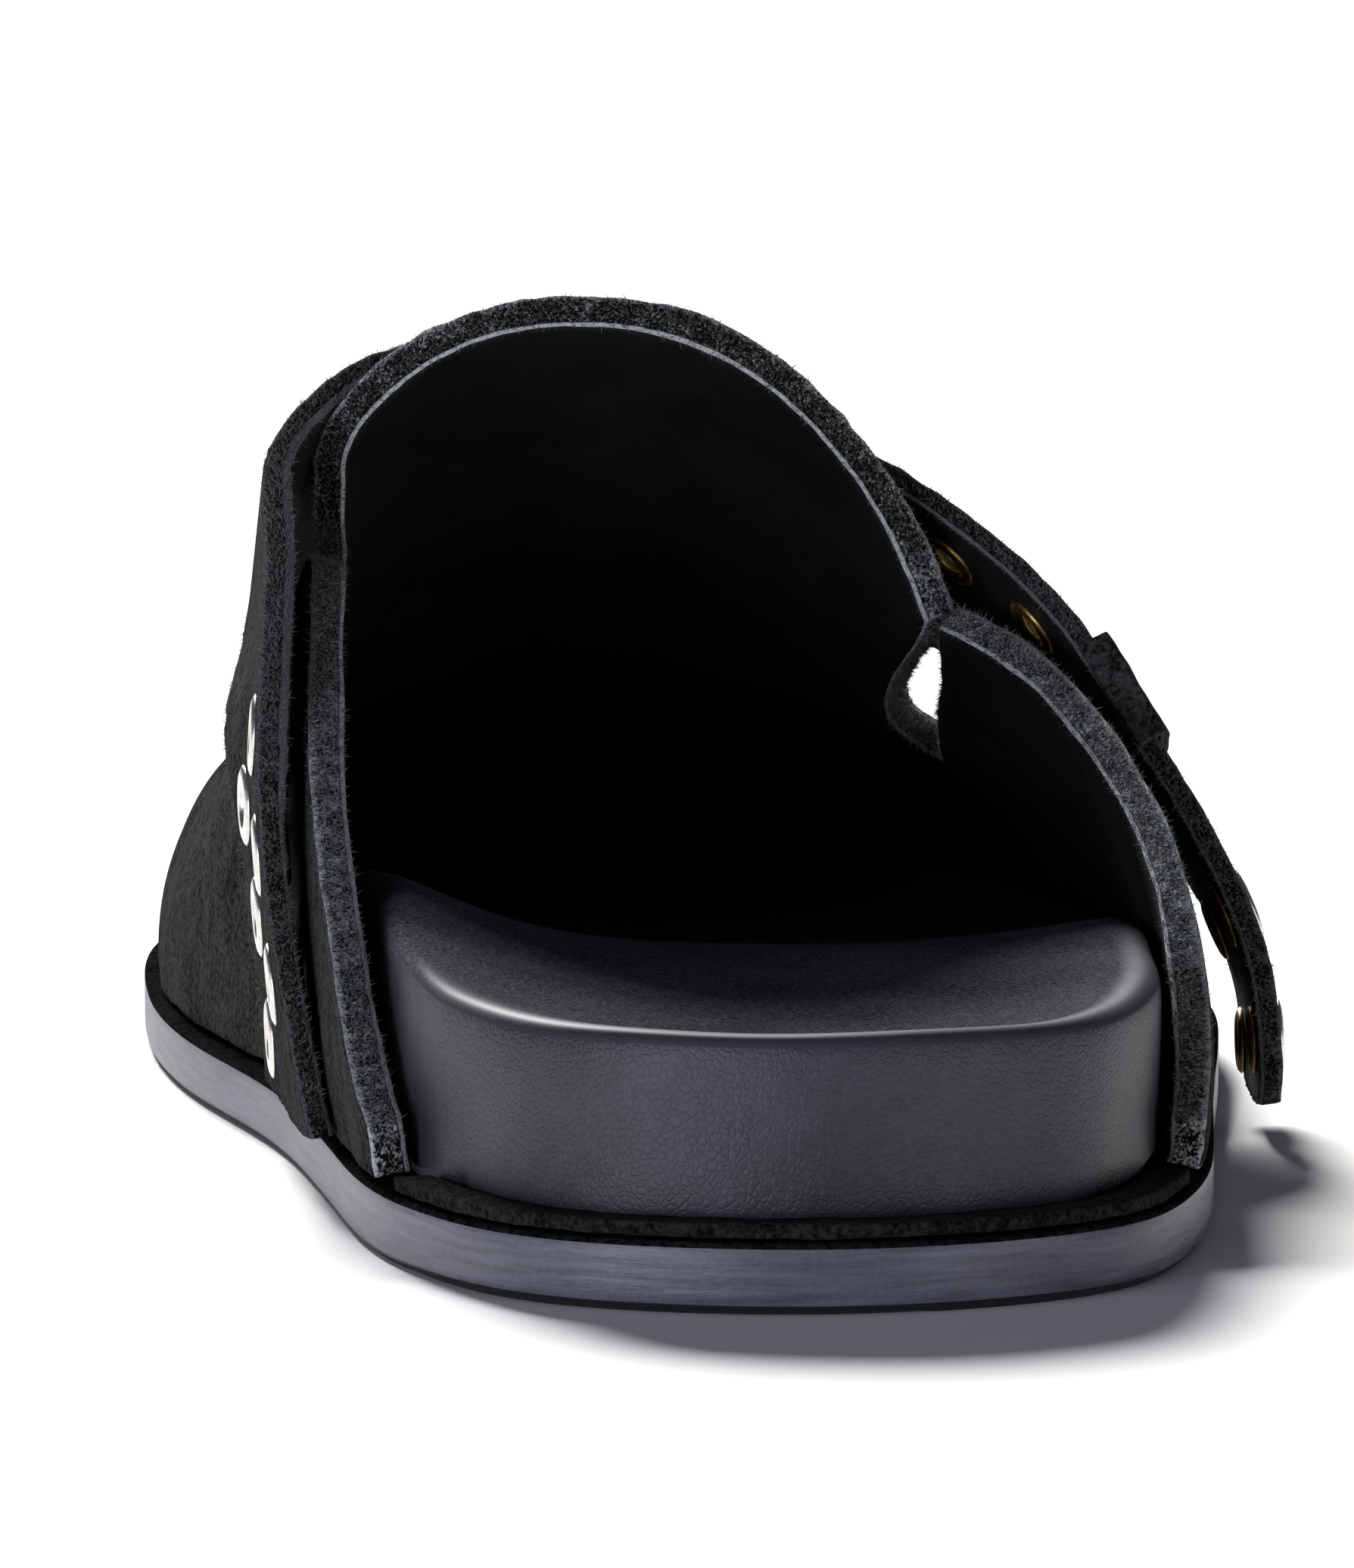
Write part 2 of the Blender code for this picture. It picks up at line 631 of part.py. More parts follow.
def strap_point(run, across, lift):
    """A point of the strap: so far along it, across its width and out from its inner face."""
    return strap_skin(run, across) + strap_axes(run, across)[2] * lift


def strap_start(share):
    """The run at which the strap rises off the sole, for a share of its half width."""
    runs = np.linspace(0.0, 40.0, 81)
    heights = [strap_skin(run, share * half_width(run))[2] for run in runs]
    return np.interp(STRAP_BASE_Z, heights, runs)


def strap():
    """Flat leather band, with a slanted free end and rounded corners."""
    points = []
    shares = np.linspace(-1.0, 1.0, STRAP_COLUMNS + 1)
    starts = [strap_start(share) for share in shares]
    for i in range(STRAP_STEPS + 1):
        for share, start in zip(shares, starts):
            corner = STRAP_END_CORNER * (1 - math.sqrt(1 - 0.96 * share**4))
            end = STRAP_LENGTH - corner - STRAP_END_SLANT * (share + 1) / 2
            run = start + (end - start) * i / STRAP_STEPS
            points.append(strap_skin(run, share * half_width(run)))
    faces = grid_faces(0, STRAP_STEPS + 1, STRAP_COLUMNS + 1)
    band = new_object("strap", "strap_suede", points, faces, closed=False)
    band.data.flip_normals()
    wall = band.modifiers.new("wall", "SOLIDIFY")
    wall.thickness = STRAP_THICKNESS * MM
    wall.offset = 1.0
    return band


def keeper():
    """Suede loop that bridges the strap and stands on the quarter on both sides of it."""
    points = []
    path_length = 0
    for i in range(KEEPER_SLICES):
        run = STRAP_LENGTH * KEEPER_AT + KEEPER_LENGTH * (i / (KEEPER_SLICES - 1) - 0.5)
        side = half_width(run) + KEEPER_SIDE_GAP
        top = STRAP_THICKNESS + GAP
        thick = KEEPER_THICKNESS
        inner = [(-side, 0.0), (-side, top), (side, top), (side, 0.0)]
        outer = [(side + thick, 0.0), (side + thick, top + 0.4 * thick), (side - thick, top + thick),
                 (-side + thick, top + thick), (-side - thick, top + 0.4 * thick), (-side - thick, 0.0)]
        path = inner + outer
        path_length = len(path)
        points += [strap_point(run, across, lift) for across, lift in path]
    faces = []
    for i in range(KEEPER_SLICES - 1):
        for c in range(path_length):
            d = (c + 1) % path_length
            a, b = i * path_length, (i + 1) * path_length
            faces.append((a + c, a + d, b + d, b + c))
    last = (KEEPER_SLICES - 1) * path_length
    for first in (0, last):
        faces += [tuple(first + c for c in cap) for cap in ((0, 1, 8, 9), (1, 2, 6, 7), (2, 3, 4, 5))]
        faces += [tuple(first + c for c in cap) for cap in ((1, 7, 8), (2, 5, 6))]
    return new_object("keeper", "strap_suede", points, faces)


def eyelet_mesh():
    """A flat washer, turned from its section."""
    profile = bpy.data.meshes.new("eyelet_section")
    inner, outer, high = EYELET_HOLE_RADIUS, EYELET_RADIUS, EYELET_THICKNESS
    section = ((inner, high), (outer - 0.6, high), (outer, 0.0), (inner, 0.0))
    corners = [(x * MM, 0.0, z * MM) for x, z in section]
    profile.from_pydata(corners, [(i, (i + 1) % 4) for i in range(4)], [])
    turned = bpy.data.objects.new("eyelet_section", profile)
    bpy.data.collections["mule"].objects.link(turned)
    screw = turned.modifiers.new("turn", "SCREW")
    screw.steps = screw.render_steps = EYELET_STEPS
    screw.use_merge_vertices = True
    screw.merge_threshold = 1e-5
    mesh = bpy.data.meshes.new_from_object(turned.evaluated_get(bpy.context.evaluated_depsgraph_get()))
    mesh.materials.append(material("eyelet_metal"))
    bpy.data.objects.remove(turned)
    shape = bmesh.new()
    shape.from_mesh(mesh)
    bmesh.ops.recalc_face_normals(shape, faces=shape.faces)
    shape.to_mesh(mesh)
    shape.free()
    return mesh


def eyelets():
    """Pairs of washers along the strap's outer face."""
    mesh = eyelet_mesh()
    count = int((STRAP_LENGTH - EYELET_FIRST - EYELET_LAST_MARGIN) / EYELET_PITCH) + 1
    for i in range(count):
        run = EYELET_FIRST + EYELET_PITCH * i
        near_keeper = abs(run - STRAP_LENGTH * KEEPER_AT) < KEEPER_LENGTH / 2 + EYELET_RADIUS + KEEPER_MARGIN
        if near_keeper or BARE_RUN[0] < run < BARE_RUN[1]:
            continue
        for row, side in (("rear", -1), ("front", 1)):
            washer = bpy.data.objects.new(f"eyelet_{row}_{i + 1:02d}", mesh)
            place = strap_point(run, side * EYELET_ROW, STRAP_THICKNESS + EYELET_LIFT)
            _, width, out = strap_axes(run, side * EYELET_ROW)
            axes = Matrix((Vector(np.cross(width, out)), Vector(width), Vector(out))).transposed()
            washer.matrix_world = Matrix.Translation(place * MM) @ axes.to_4x4()
            bpy.data.collections["mule"].objects.link(washer)


def centre_on_floor():
    """Moves every piece so that the origin is under the middle of the whole shoe."""
    pieces = bpy.data.collections["mule"].objects
    bpy.context.view_layer.update()
    ready = [piece.evaluated_get(bpy.context.evaluated_depsgraph_get()) for piece in pieces]
    corners = np.array([piece.matrix_world @ v.co for piece in ready for v in piece.data.vertices])
    low, high = corners.min(axis=0), corners.max(axis=0)
    shift = Vector(((low[0] + high[0]) / 2, (low[1] + high[1]) / 2, low[2]))
    for piece in pieces:
        piece.location -= shift


def main():
    """Clears the scene and models every piece."""
    for obj in list(bpy.data.objects):
        bpy.data.objects.remove(obj)
    mule = bpy.data.collections.new("mule")
    bpy.context.scene.collection.children.link(mule)
    outsole()
    heel_rand()
    footbed()
    upper()
    strap()
    keeper()
    eyelets()
    centre_on_floor()


main()
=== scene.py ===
"""Looks of a right-foot mule: suede upper and strap, moulded leather footbed, leather sole and eyelets.

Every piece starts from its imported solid, in metres: +X to the outer side of the foot, +Y to the toe, +Z up.
Sizes that the classes hold are in millimetres, unless a note says otherwise.
"""

import logging
import math
from dataclasses import dataclass
from enum import Enum

import bmesh
import bpy
import numpy as np
from mathutils import Euler, Matrix, Vector, noise
from mathutils.kdtree import KDTree

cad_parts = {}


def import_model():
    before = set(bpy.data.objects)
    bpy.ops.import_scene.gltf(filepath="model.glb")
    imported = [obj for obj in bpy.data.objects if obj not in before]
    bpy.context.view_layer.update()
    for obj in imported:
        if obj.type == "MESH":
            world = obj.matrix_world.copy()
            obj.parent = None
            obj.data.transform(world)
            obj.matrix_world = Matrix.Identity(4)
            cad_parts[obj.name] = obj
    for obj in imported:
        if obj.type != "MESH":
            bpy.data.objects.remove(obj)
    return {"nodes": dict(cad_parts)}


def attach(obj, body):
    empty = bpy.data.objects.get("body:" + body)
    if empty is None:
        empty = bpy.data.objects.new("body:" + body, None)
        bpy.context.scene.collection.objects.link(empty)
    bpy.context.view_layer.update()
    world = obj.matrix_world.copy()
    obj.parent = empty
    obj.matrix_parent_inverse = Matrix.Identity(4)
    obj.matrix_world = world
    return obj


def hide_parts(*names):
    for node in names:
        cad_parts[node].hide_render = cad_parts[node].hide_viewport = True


Object = bpy.types.Object
Node = bpy.types.Node
Socket = bpy.types.NodeSocket
Tree = bpy.types.NodeTree
Solid = bmesh.types.BMesh
Inputs = dict[str, object]
Packed = dict[str, Object]
Place = tuple[float, float, float]
Span = tuple[float, float]

LOG = logging.getLogger("mule")
MM = 0.001
IMAGE_WIDTH = 1789
# Corners nearer to each other than this are one corner, in metres.
MERGE_DISTANCE = 1e-6
# Largest turn between two triangles, and skew of their quad, at which they are joined.
QUAD_TURN = math.radians(35)
QUAD_SKEW = math.radians(60)
# Turn in degrees at which a face of a leather wall ends, and the crease weight of that corner.
WALL_EDGES: Span = (50.0, 0.8)
# Blender's names of the node types that occur often.
NOISE = "ShaderNodeTexNoise"
MATH = "ShaderNodeMath"
RANGE = "ShaderNodeMapRange"
MIX = "ShaderNodeMix"
BUMP = "ShaderNodeBump"


class Wall(Enum):
    """The three kinds of face on a leather piece, in the order of its material slots."""

    OUTER = 0
    RIM = 1
    INNER = 2


class SoleFace(Enum):
    """The three kinds of face on the outsole, in the order of its material slots."""

    EDGE = 0
    BOTTOM = 1
    TOP = 2


class BedFace(Enum):
    """The two kinds of face on the footbed, in the order of its material slots."""

    SIDE = 0
    TOP = 1


def linear(hex_colour: str) -> tuple[float, float, float, float]:
    """An sRGB hex colour as linear RGBA.

    Args:
        hex_colour: Colour such as "#1a1718".

    Returns:
        Linear red, green, blue and an alpha of 1.
    """
    shares = [int(hex_colour[i : i + 2], 16) / 255 for i in (1, 3, 5)]
    return (*(s / 12.92 if s <= 0.04045 else ((s + 0.055) / 1.055) ** 2.4 for s in shares), 1.0)


def plug(tree: Tree, node: Node, inputs: dict) -> None:
    """Sets or links a node's inputs.

    Args:
        tree: The node's tree.
        node: The node.
        inputs: Socket name or number, with the value or the output socket that goes in.
    """
    for key, value in inputs.items():
        if isinstance(value, Socket):
            tree.links.new(value, node.inputs[key])
        else:
            node.inputs[key].default_value = value


def add(tree: Tree, kind: str, inputs: dict | None = None, **settings: object) -> Node:
    """Adds a node with its settings and links.

    Args:
        tree: Node tree that takes the node.
        kind: Blender's name of the node type.
        inputs: Socket name or number, with the value or the output socket that goes in.
        **settings: Properties of the node.

    Returns:
        The new node.
    """
    node = tree.nodes.new(kind)
    for key, value in settings.items():
        setattr(node, key, value)
    plug(tree, node, inputs or {})
    return node


def per_mm(size_mm: float) -> float:
    """Texture scale for a pattern whose features are this many millimetres across."""
    return 1.0 / (size_mm * MM)


def ease(value: np.ndarray | float, low: float, high: float) -> np.ndarray | float:
    """Share from 0 at the low value to 1 at the high one, with soft ends."""
    share = np.clip((value - low) / (high - low), 0.0, 1.0)
    return share * share * (3.0 - 2.0 * share)


@dataclass(frozen=True)
class Finish:
    """A surface finish. This plain one has one even colour."""

    name: str
    dark: str  # Colour of its low places
    light: str  # Colour of its high or worn places
    roughness: float
    tones: Span = (0.0, 1.0)  # Values of its pattern that are still dark, and fully light

    def material(self) -> bpy.types.Material:
        """The material of this finish, made once.

        Returns:
            The material.
        """
        found = bpy.data.materials.get(self.name)
        if found:
            return found
        made = bpy.data.materials.new(self.name)
        made.use_nodes = True
        shader = made.node_tree.nodes["Principled BSDF"]
        plug(made.node_tree, shader, {"Roughness": self.roughness})
        plug(made.node_tree, shader, self.paint(made.node_tree))
        return made

    def paint(self, tree: Tree) -> Inputs:
        """One even colour for the shader."""
        return {"Base Color": linear(self.dark)}

    def tint(self, tree: Tree, pattern: Socket) -> Socket:
        """Colours a pattern from dark to light, between the finish's tones.

        Args:
            tree: The material's node tree.
            pattern: Value to colour by.

        Returns:
            The colour.
        """
        node = add(tree, "ShaderNodeValToRGB", {"Fac": pattern})
        first, last = node.color_ramp.elements
        first.position, last.position = self.tones
        first.color, last.color = linear(self.dark), linear(self.light)
        return node.outputs["Color"]


@dataclass(frozen=True)
class Suede(Finish):
    """Buffed split leather: a short nap that scatters light, with lighter brushed clouds and fine fibres."""

    tones: Span = (0.64, 0.92)
    fibre_mm: float = 0.5  # Width of the fibre tufts, drawn coarse enough to show
    clump_mm: float = 3.2  # Width of the brushed clumps
    cloud_mm: float = 19.0  # Width of the smudges from handling
    clump_share: float = 0.3  # Part of the clumps in the colour, against the fibres
    cloud_share: float = 0.25  # Part of the clouds in the colour
    clump_height: float = 0.6  # Height of the clumps, against the fibres
    sheen: float = 0.05  # Weight of the nap's sheen

    def paint(self, tree: Tree) -> Inputs:
        """Mixes fibres, clumps and clouds into colour and bump.

        Args:
            tree: The material's node tree.

        Returns:
            What goes into the shader.
        """
        place = add(tree, "ShaderNodeTexCoord").outputs["Object"]
        fibre = add(tree, NOISE, {
            "Vector": place, "Scale": per_mm(self.fibre_mm), "Detail": 4.0, "Roughness": 0.65,
        }).outputs["Fac"]
        clump = add(tree, NOISE, {
            "Vector": place, "Scale": per_mm(self.clump_mm), "Detail": 5.0, "Distortion": 0.7,
        }).outputs["Fac"]
        cloud = add(tree, NOISE, {
            "Vector": place, "Scale": per_mm(self.cloud_mm), "Detail": 2.0,
        }).outputs["Fac"]
        near = add(tree, MATH, {
            0: clump, 1: self.clump_share, 2: fibre,
        }, operation="MULTIPLY_ADD").outputs[0]
        nap = add(tree, MATH, {0: cloud, 1: self.cloud_share, 2: near}, operation="MULTIPLY_ADD").outputs[0]
        height = add(tree, MATH, {
            0: clump, 1: self.clump_height, 2: fibre,
        }, operation="MULTIPLY_ADD").outputs[0]
        bump = add(tree, BUMP, {"Height": height, "Distance": 0.5 * MM, "Strength": 0.9})
        return {
            "Base Color": self.tint(tree, nap), "Normal": bump.outputs["Normal"], "Sheen Weight": self.sheen,
            "Sheen Roughness": 0.45, "Sheen Tint": linear("#b9bcbd"), "Specular IOR Level": 0.0,
        }


@dataclass(frozen=True)
class CutEdge(Finish):
    """The cut through lined leather: a felt of loose fibres, a dark glue line, then the pale lining, with
    painted shade towards its top.
    """

    tones: Span = (0.62, 0.78)
    lining: str = "#cdd0cf"  # Colour of the lining's cut
    lining_at: float = 0.85  # Share of the wall, from outside, at which the lining starts
    # Shares after that at which the felt ends, the glue is darkest and the lining is clear
    glue: tuple[float, float, float] = (0.04, 0.05, 0.09)
    fibre_mm: float = 0.3  # Width of single fibre ends, drawn coarse enough to show
    tuft_mm: float = 1.6  # Width of the tufts that they gather in
    tuft_share: float = 0.3  # Part of the tufts in the felt, against the fibres
    unevenness: float = 0.1  # How far the tufts shift the layers, as a share of the wall
    painted_shade_z: Span = (46.0, 54.0)  # Heights between which the felt is painted darker: painted shade on the top of the cut, where the back light falls

    def paint(self, tree: Tree) -> Inputs:
        """Layers the colours across the wall by the depth attribute, with a painted highlight near the outer
        face.

        Args:
            tree: The material's node tree.

        Returns:
            What goes into the shader.
        """
        place = add(tree, "ShaderNodeTexCoord").outputs["Object"]
        fibre = add(tree, NOISE, {
            "Vector": place, "Scale": per_mm(self.fibre_mm), "Detail": 4.0, "Roughness": 0.7,
        }).outputs["Fac"]
        tuft = add(tree, NOISE, {
            "Vector": place, "Scale": per_mm(self.tuft_mm), "Detail": 3.0,
        }).outputs["Fac"]
        felt = add(tree, MATH, {0: tuft, 1: self.tuft_share, 2: fibre}, operation="MULTIPLY_ADD").outputs[0]
        height = add(tree, "ShaderNodeSeparateXYZ", {0: place}).outputs["Z"]
        # Painted shade: the felt darkens towards the top of the cut, where the back light falls.
        low, high = (z * MM for z in self.painted_shade_z)
        painted_top_shade = add(tree, RANGE, {
            "Value": height, "From Min": low, "From Max": high, "To Max": -0.08,
        }, interpolation_type="SMOOTHSTEP").outputs[0]
        depth = add(tree, "ShaderNodeAttribute", attribute_name="depth").outputs["Fac"]
        layer = add(tree, MATH, {
            0: tuft, 1: self.unevenness, 2: depth,
        }, operation="MULTIPLY_ADD").outputs[0]
        # Painted highlight: the felt is lighter near the outer face, where the cut's corner catches the side
        # light.
        painted_corner_highlight = add(tree, RANGE, {
            "Value": depth, "From Min": 0.24, "From Max": 0.0, "To Max": 0.16,
        }, interpolation_type="SMOOTHSTEP").outputs[0]
        # The painted shade and the painted highlight are summed into the felt's tone.
        shade = add(tree, MATH, {0: painted_top_shade, 1: painted_corner_highlight}, operation="ADD").outputs[0]
        lit = add(tree, MATH, {0: felt, 1: shade}, operation="ADD").outputs[0]
        loose = self.tint(tree, lit)
        felt_end, glue_at, clear_at = (self.lining_at + after for after in self.glue)
        bands = add(tree, "ShaderNodeValToRGB", {"Fac": layer})
        dark, pale = bands.color_ramp.elements
        dark.position, pale.position = glue_at, clear_at
        dark.color, pale.color = linear(self.dark), linear(self.lining)
        inside = add(tree, MATH, {0: layer, 1: felt_end}, operation="GREATER_THAN").outputs[0]
        colour = add(tree, MIX, {0: inside, 6: loose, 7: bands.outputs["Color"]}, data_type="RGBA")
        bump = add(tree, BUMP, {"Height": felt, "Distance": 0.5 * MM, "Strength": 0.9})
        return {
            "Base Color": colour.outputs[2], "Normal": bump.outputs["Normal"],
            "Sheen Weight": 0.05, "Specular IOR Level": 0.0,
        }


@dataclass(frozen=True)
class GrainLeather(Finish):
    """Dyed full-grain leather: rounded grain cells, fine creases, a soft gloss and paler rubbed places."""

    tones: Span = (0.36, 0.74)
    grain_mm: float = 0.9  # Width of a grain cell
    relief_mm: float = 0.06  # Depth of the creases between cells
    bend_mm: float = 2.2  # Width of the waves that bend the cells
    bend_by_mm: float = 0.8  # How far they bend them
    pore_mm: float = 0.3  # Width of the pores
    pore_share: float = 0.35  # Height of the pores, against the cells
    rub_mm: float = 12.0  # Width of the rubbed patches
    gloss_spread: float = 0.18  # How much the roughness varies
    specular: float = 0.5  # Level of the gloss

    def paint(self, tree: Tree) -> Inputs:
        """Draws grain cells, creases and rubbed patches.

        Args:
            tree: The material's node tree.

        Returns:
            What goes into the shader.
        """
        place = add(tree, "ShaderNodeTexCoord").outputs["Object"]
        bend = add(tree, NOISE, {"Vector": place, "Scale": per_mm(self.bend_mm), "Detail": 2.0})
        bent = add(tree, "ShaderNodeVectorMath", {
            0: bend.outputs["Color"], 1: (self.bend_by_mm * MM,) * 3, 2: place,
        }, operation="MULTIPLY_ADD").outputs[0]
        cells = add(tree, "ShaderNodeTexVoronoi", {
            "Vector": bent, "Scale": per_mm(self.grain_mm),
        }, feature="DISTANCE_TO_EDGE").outputs["Distance"]
        pores = add(tree, NOISE, {
            "Vector": place, "Scale": per_mm(self.pore_mm), "Detail": 3.0,
        }).outputs["Fac"]
        rub = add(tree, NOISE, {
            "Vector": place, "Scale": per_mm(self.rub_mm), "Detail": 4.0, "Roughness": 0.6,
        }).outputs["Fac"]
        dome = add(tree, RANGE, {
            "Value": cells, "From Max": 0.22,
        }, interpolation_type="SMOOTHSTEP").outputs[0]
        height = add(tree, MATH, {
            0: pores, 1: self.pore_share, 2: dome,
        }, operation="MULTIPLY_ADD").outputs[0]
        bump = add(tree, BUMP, {"Height": height, "Distance": self.relief_mm * MM, "Strength": 0.8})
        gloss = add(tree, MATH, {
            0: rub, 1: self.gloss_spread, 2: self.roughness - self.gloss_spread / 2,
        }, operation="MULTIPLY_ADD").outputs[0]
        return {
            "Base Color": self.tint(tree, rub), "Normal": bump.outputs["Normal"],
            "Roughness": gloss, "Specular IOR Level": self.specular,
        }


@dataclass(frozen=True)
class Nubuck(Finish):
    """Sanded grain side of leather: velvety, with a fine bright dust and darker trodden patches."""

    tones: Span = (0.45, 0.88)
    patch_mm: float = 16.0  # Width of the trodden patches
    patch_share: float = 0.3  # Part of the patches in the colour, against the pores
    pore_mm: float = 0.35  # Width of the pores
    grit_mm: float = 0.55  # Spacing of the dust specks, drawn coarse enough to show
    dust: str = "#b4b6ba"
    rim: str = "#37373f"  # Colour of the leather that the nubuck runs into at the rim
    rim_coat: float = 0.32  # Wax on that leather
    rim_roughness: float = 0.5  # Roughness of the wax

    def paint(self, tree: Tree) -> Inputs:
        """Mixes soft patches with specks of dust, and waxed leather where the polish attribute rises.

        Args:
            tree: The material's node tree.

        Returns:
            What goes into the shader.
        """
        place = add(tree, "ShaderNodeTexCoord").outputs["Object"]
        patch = add(tree, NOISE, {
            "Vector": place, "Scale": per_mm(self.patch_mm), "Detail": 4.0,
        }).outputs["Fac"]
        pores = add(tree, NOISE, {
            "Vector": place, "Scale": per_mm(self.pore_mm), "Detail": 3.0,
        }).outputs["Fac"]
        speck = add(tree, "ShaderNodeTexVoronoi", {
            "Vector": place, "Scale": per_mm(self.grit_mm), "Randomness": 1.0,
        }).outputs["Distance"]
        dust = add(tree, RANGE, {
            "Value": speck, "From Min": 0.2, "From Max": 0.06, "To Max": 0.9,
        }).outputs[0]
        tone = add(tree, MATH, {
            0: patch, 1: self.patch_share, 2: pores,
        }, operation="MULTIPLY_ADD").outputs[0]
        chance = add(tree, MATH, {0: patch, 1: dust}, operation="MULTIPLY").outputs[0]
        nap = add(tree, MIX, {
            0: chance, 6: self.tint(tree, tone), 7: linear(self.dust),
        }, data_type="RGBA").outputs[2]
        polish = add(tree, "ShaderNodeAttribute", attribute_name="polish").outputs["Fac"]
        colour = add(tree, MIX, {0: polish, 6: nap, 7: linear(self.rim)}, data_type="RGBA")
        wax = add(tree, MATH, {0: polish, 1: self.rim_coat}, operation="MULTIPLY")
        bump = add(tree, BUMP, {"Height": pores, "Distance": 0.12 * MM, "Strength": 0.6})
        return {
            "Base Color": colour.outputs[2], "Normal": bump.outputs["Normal"], "Coat Weight": wax.outputs[0],
            "Coat Roughness": self.rim_roughness, "Specular IOR Level": 0.0,
        }


@dataclass(frozen=True)
class SoleEdge(Finish):
    """Trimmed and inked leather edge: its pressed layers show as faint level lines in the grey."""

    tones: Span = (0.5, 0.92)
    layer_mm: float = 0.7  # Height of the pressed layers
    streak_mm: float = 9.0  # Length of the trimming marks along the edge
    grit_mm: float = 0.5  # Width of the grit in the ink
    grit_share: float = 0.4  # Part of the grit, against the layers

    def paint(self, tree: Tree) -> Inputs:
        """Stretches noise along the edge for layers and trimming marks.

        Args:
            tree: The material's node tree.

        Returns:
            What goes into the shader.
        """
        place = add(tree, "ShaderNodeTexCoord").outputs["Object"]
        along = (per_mm(self.streak_mm), per_mm(self.streak_mm), per_mm(self.layer_mm))
        level = add(tree, "ShaderNodeVectorMath", {0: place, 1: along}, operation="MULTIPLY").outputs[0]
        lines = add(tree, NOISE, {
            "Vector": level, "Scale": 1.0, "Detail": 4.0, "Roughness": 0.6,
        }).outputs["Fac"]
        grit = add(tree, NOISE, {
            "Vector": place, "Scale": per_mm(self.grit_mm), "Detail": 4.0,
        }).outputs["Fac"]
        tone = add(tree, MATH, {0: grit, 1: self.grit_share, 2: lines}, operation="MULTIPLY_ADD").outputs[0]
        bump = add(tree, BUMP, {"Height": tone, "Distance": 0.12 * MM, "Strength": 0.6})
        return {"Base Color": self.tint(tree, tone), "Normal": bump.outputs["Normal"]}


@dataclass(frozen=True)
class StampedMetal(Finish):
    """Stamped metal, plated or bare: bright, with fine handling scratches."""

    tones: Span = (0.3, 0.6)
    scratch_mm: float = 0.5  # Width of the scratches
    wear: float = 0.3  # How much they vary the roughness

    def paint(self, tree: Tree) -> Inputs:
        """Scratches the roughness and tints the metal.

        Args:
            tree: The material's node tree.

        Returns:
            What goes into the shader.
        """
        place = add(tree, "ShaderNodeTexCoord").outputs["Object"]
        marks = add(tree, NOISE, {
            "Vector": place, "Scale": per_mm(self.scratch_mm), "Detail": 6.0, "Roughness": 0.7,
        }).outputs["Fac"]
        worn = add(tree, MATH, {
            0: marks, 1: self.wear, 2: self.roughness - self.wear / 2,
        }, operation="MULTIPLY_ADD").outputs[0]
        return {"Base Color": self.tint(tree, marks), "Roughness": worn, "Metallic": 1.0}


# Suede, buffed and dyed black: it takes up light, and is greyer where the nap is brushed up.
SUEDE = Suede("black_suede", "#0b0b0c", "#484748", 0.95)
# Suede and lining cut with a knife: pale felt outside, a dark glue line, a light line inside.
SUEDE_CUT = CutEdge("suede_cut_edge", "#0b0c0c", "#c4c8c6", 0.95)
# The strap's cut, stained after cutting: the same felt, but dark grey.
STRAP_CUT = CutEdge("strap_cut_edge", "#08080a", "#5c5f5e", 0.95, lining="#6a6d6d", lining_at=0.8)
# Lining leather, dyed through: nearly black, with a grain that only shows at a slant.
LINING = GrainLeather("lining_leather", "#08080a", "#121214", 0.55, grain_mm=0.7, relief_mm=0.03)
# Full-grain leather stretched round the footbed: satin, finely grained, paler where rubbed.
FOOTBED_WRAP = GrainLeather(
    "footbed_wrap_leather", "#232329", "#3a3a43", 0.5, grain_mm=0.6, relief_mm=0.032, specular=0.45,
)
# Nubuck on the footbed: dull and dusty, and trodden in patches.
FOOTBED_TOP = Nubuck("footbed_nubuck", "#26262b", "#626269", 0.9)
# Sole leather, trimmed, inked and waxed on its edge: a smooth grey with faint level lines.
SOLE_EDGE = SoleEdge("inked_sole_edge", "#494954", "#686876", 0.42)
# Split leather on top of the sole: a dark line without gloss.
SOLE_WELT = Suede("sole_top_split", "#0a090a", "#262526", 0.95, sheen=0.0)
# Sole leather on the ground side, stained and worn: dark, with a low gloss in broad patches.
SOLE_BOTTOM = GrainLeather(
    "sole_leather_worn", "#0f0f10", "#242322", 0.4, grain_mm=0.6, relief_mm=0.03, rub_mm=24.0,
)
# Split suede of the rand, left rough: a brownish black.
RAND = Suede("rand_split_suede", "#0c0b0b", "#34302e", 0.95)
# Brass, stamped and nickel-plated: a bright, warm grey.
NICKEL = StampedMetal("nickel_plated_brass", "#c9c5bd", "#efece6", 0.3)
# Brass, stamped and left raw: yellow, and dulled by handling.
BRASS_BACK = StampedMetal("raw_brass_back", "#7c6336", "#b89a5f", 0.4)
# Single suede fibres: pale grey specks along the cuts.
FLUFF = Finish("loose_suede_fibre", "#5f6261", "#5f6261", 0.9)
# Matt background paper: an even near-white.
PAPER = Finish("pale_paper", "#f8f8f8", "#f8f8f8", 0.9)


def link(name: str, data: bpy.types.ID) -> Object:
    """A new object of that data, in the scene.

    Args:
        name: Name of the object.
        data: Its mesh, lamp or camera.

    Returns:
        The object.
    """
    made = bpy.data.objects.new(name, data)
    bpy.context.scene.collection.objects.link(made)
    return made


def bake(piece: Object) -> Object:
    """Turns a piece's modifiers into plain mesh.

    Args:
        piece: Object with live modifiers.

    Returns:
        The same object, with the baked mesh and no modifiers.
    """
    bpy.context.view_layer.update()
    ready = piece.evaluated_get(bpy.context.evaluated_depsgraph_get())
    mesh = bpy.data.meshes.new_from_object(ready)
    piece.modifiers.clear()
    old, piece.data = piece.data, mesh
    bpy.data.meshes.remove(old)
    return piece


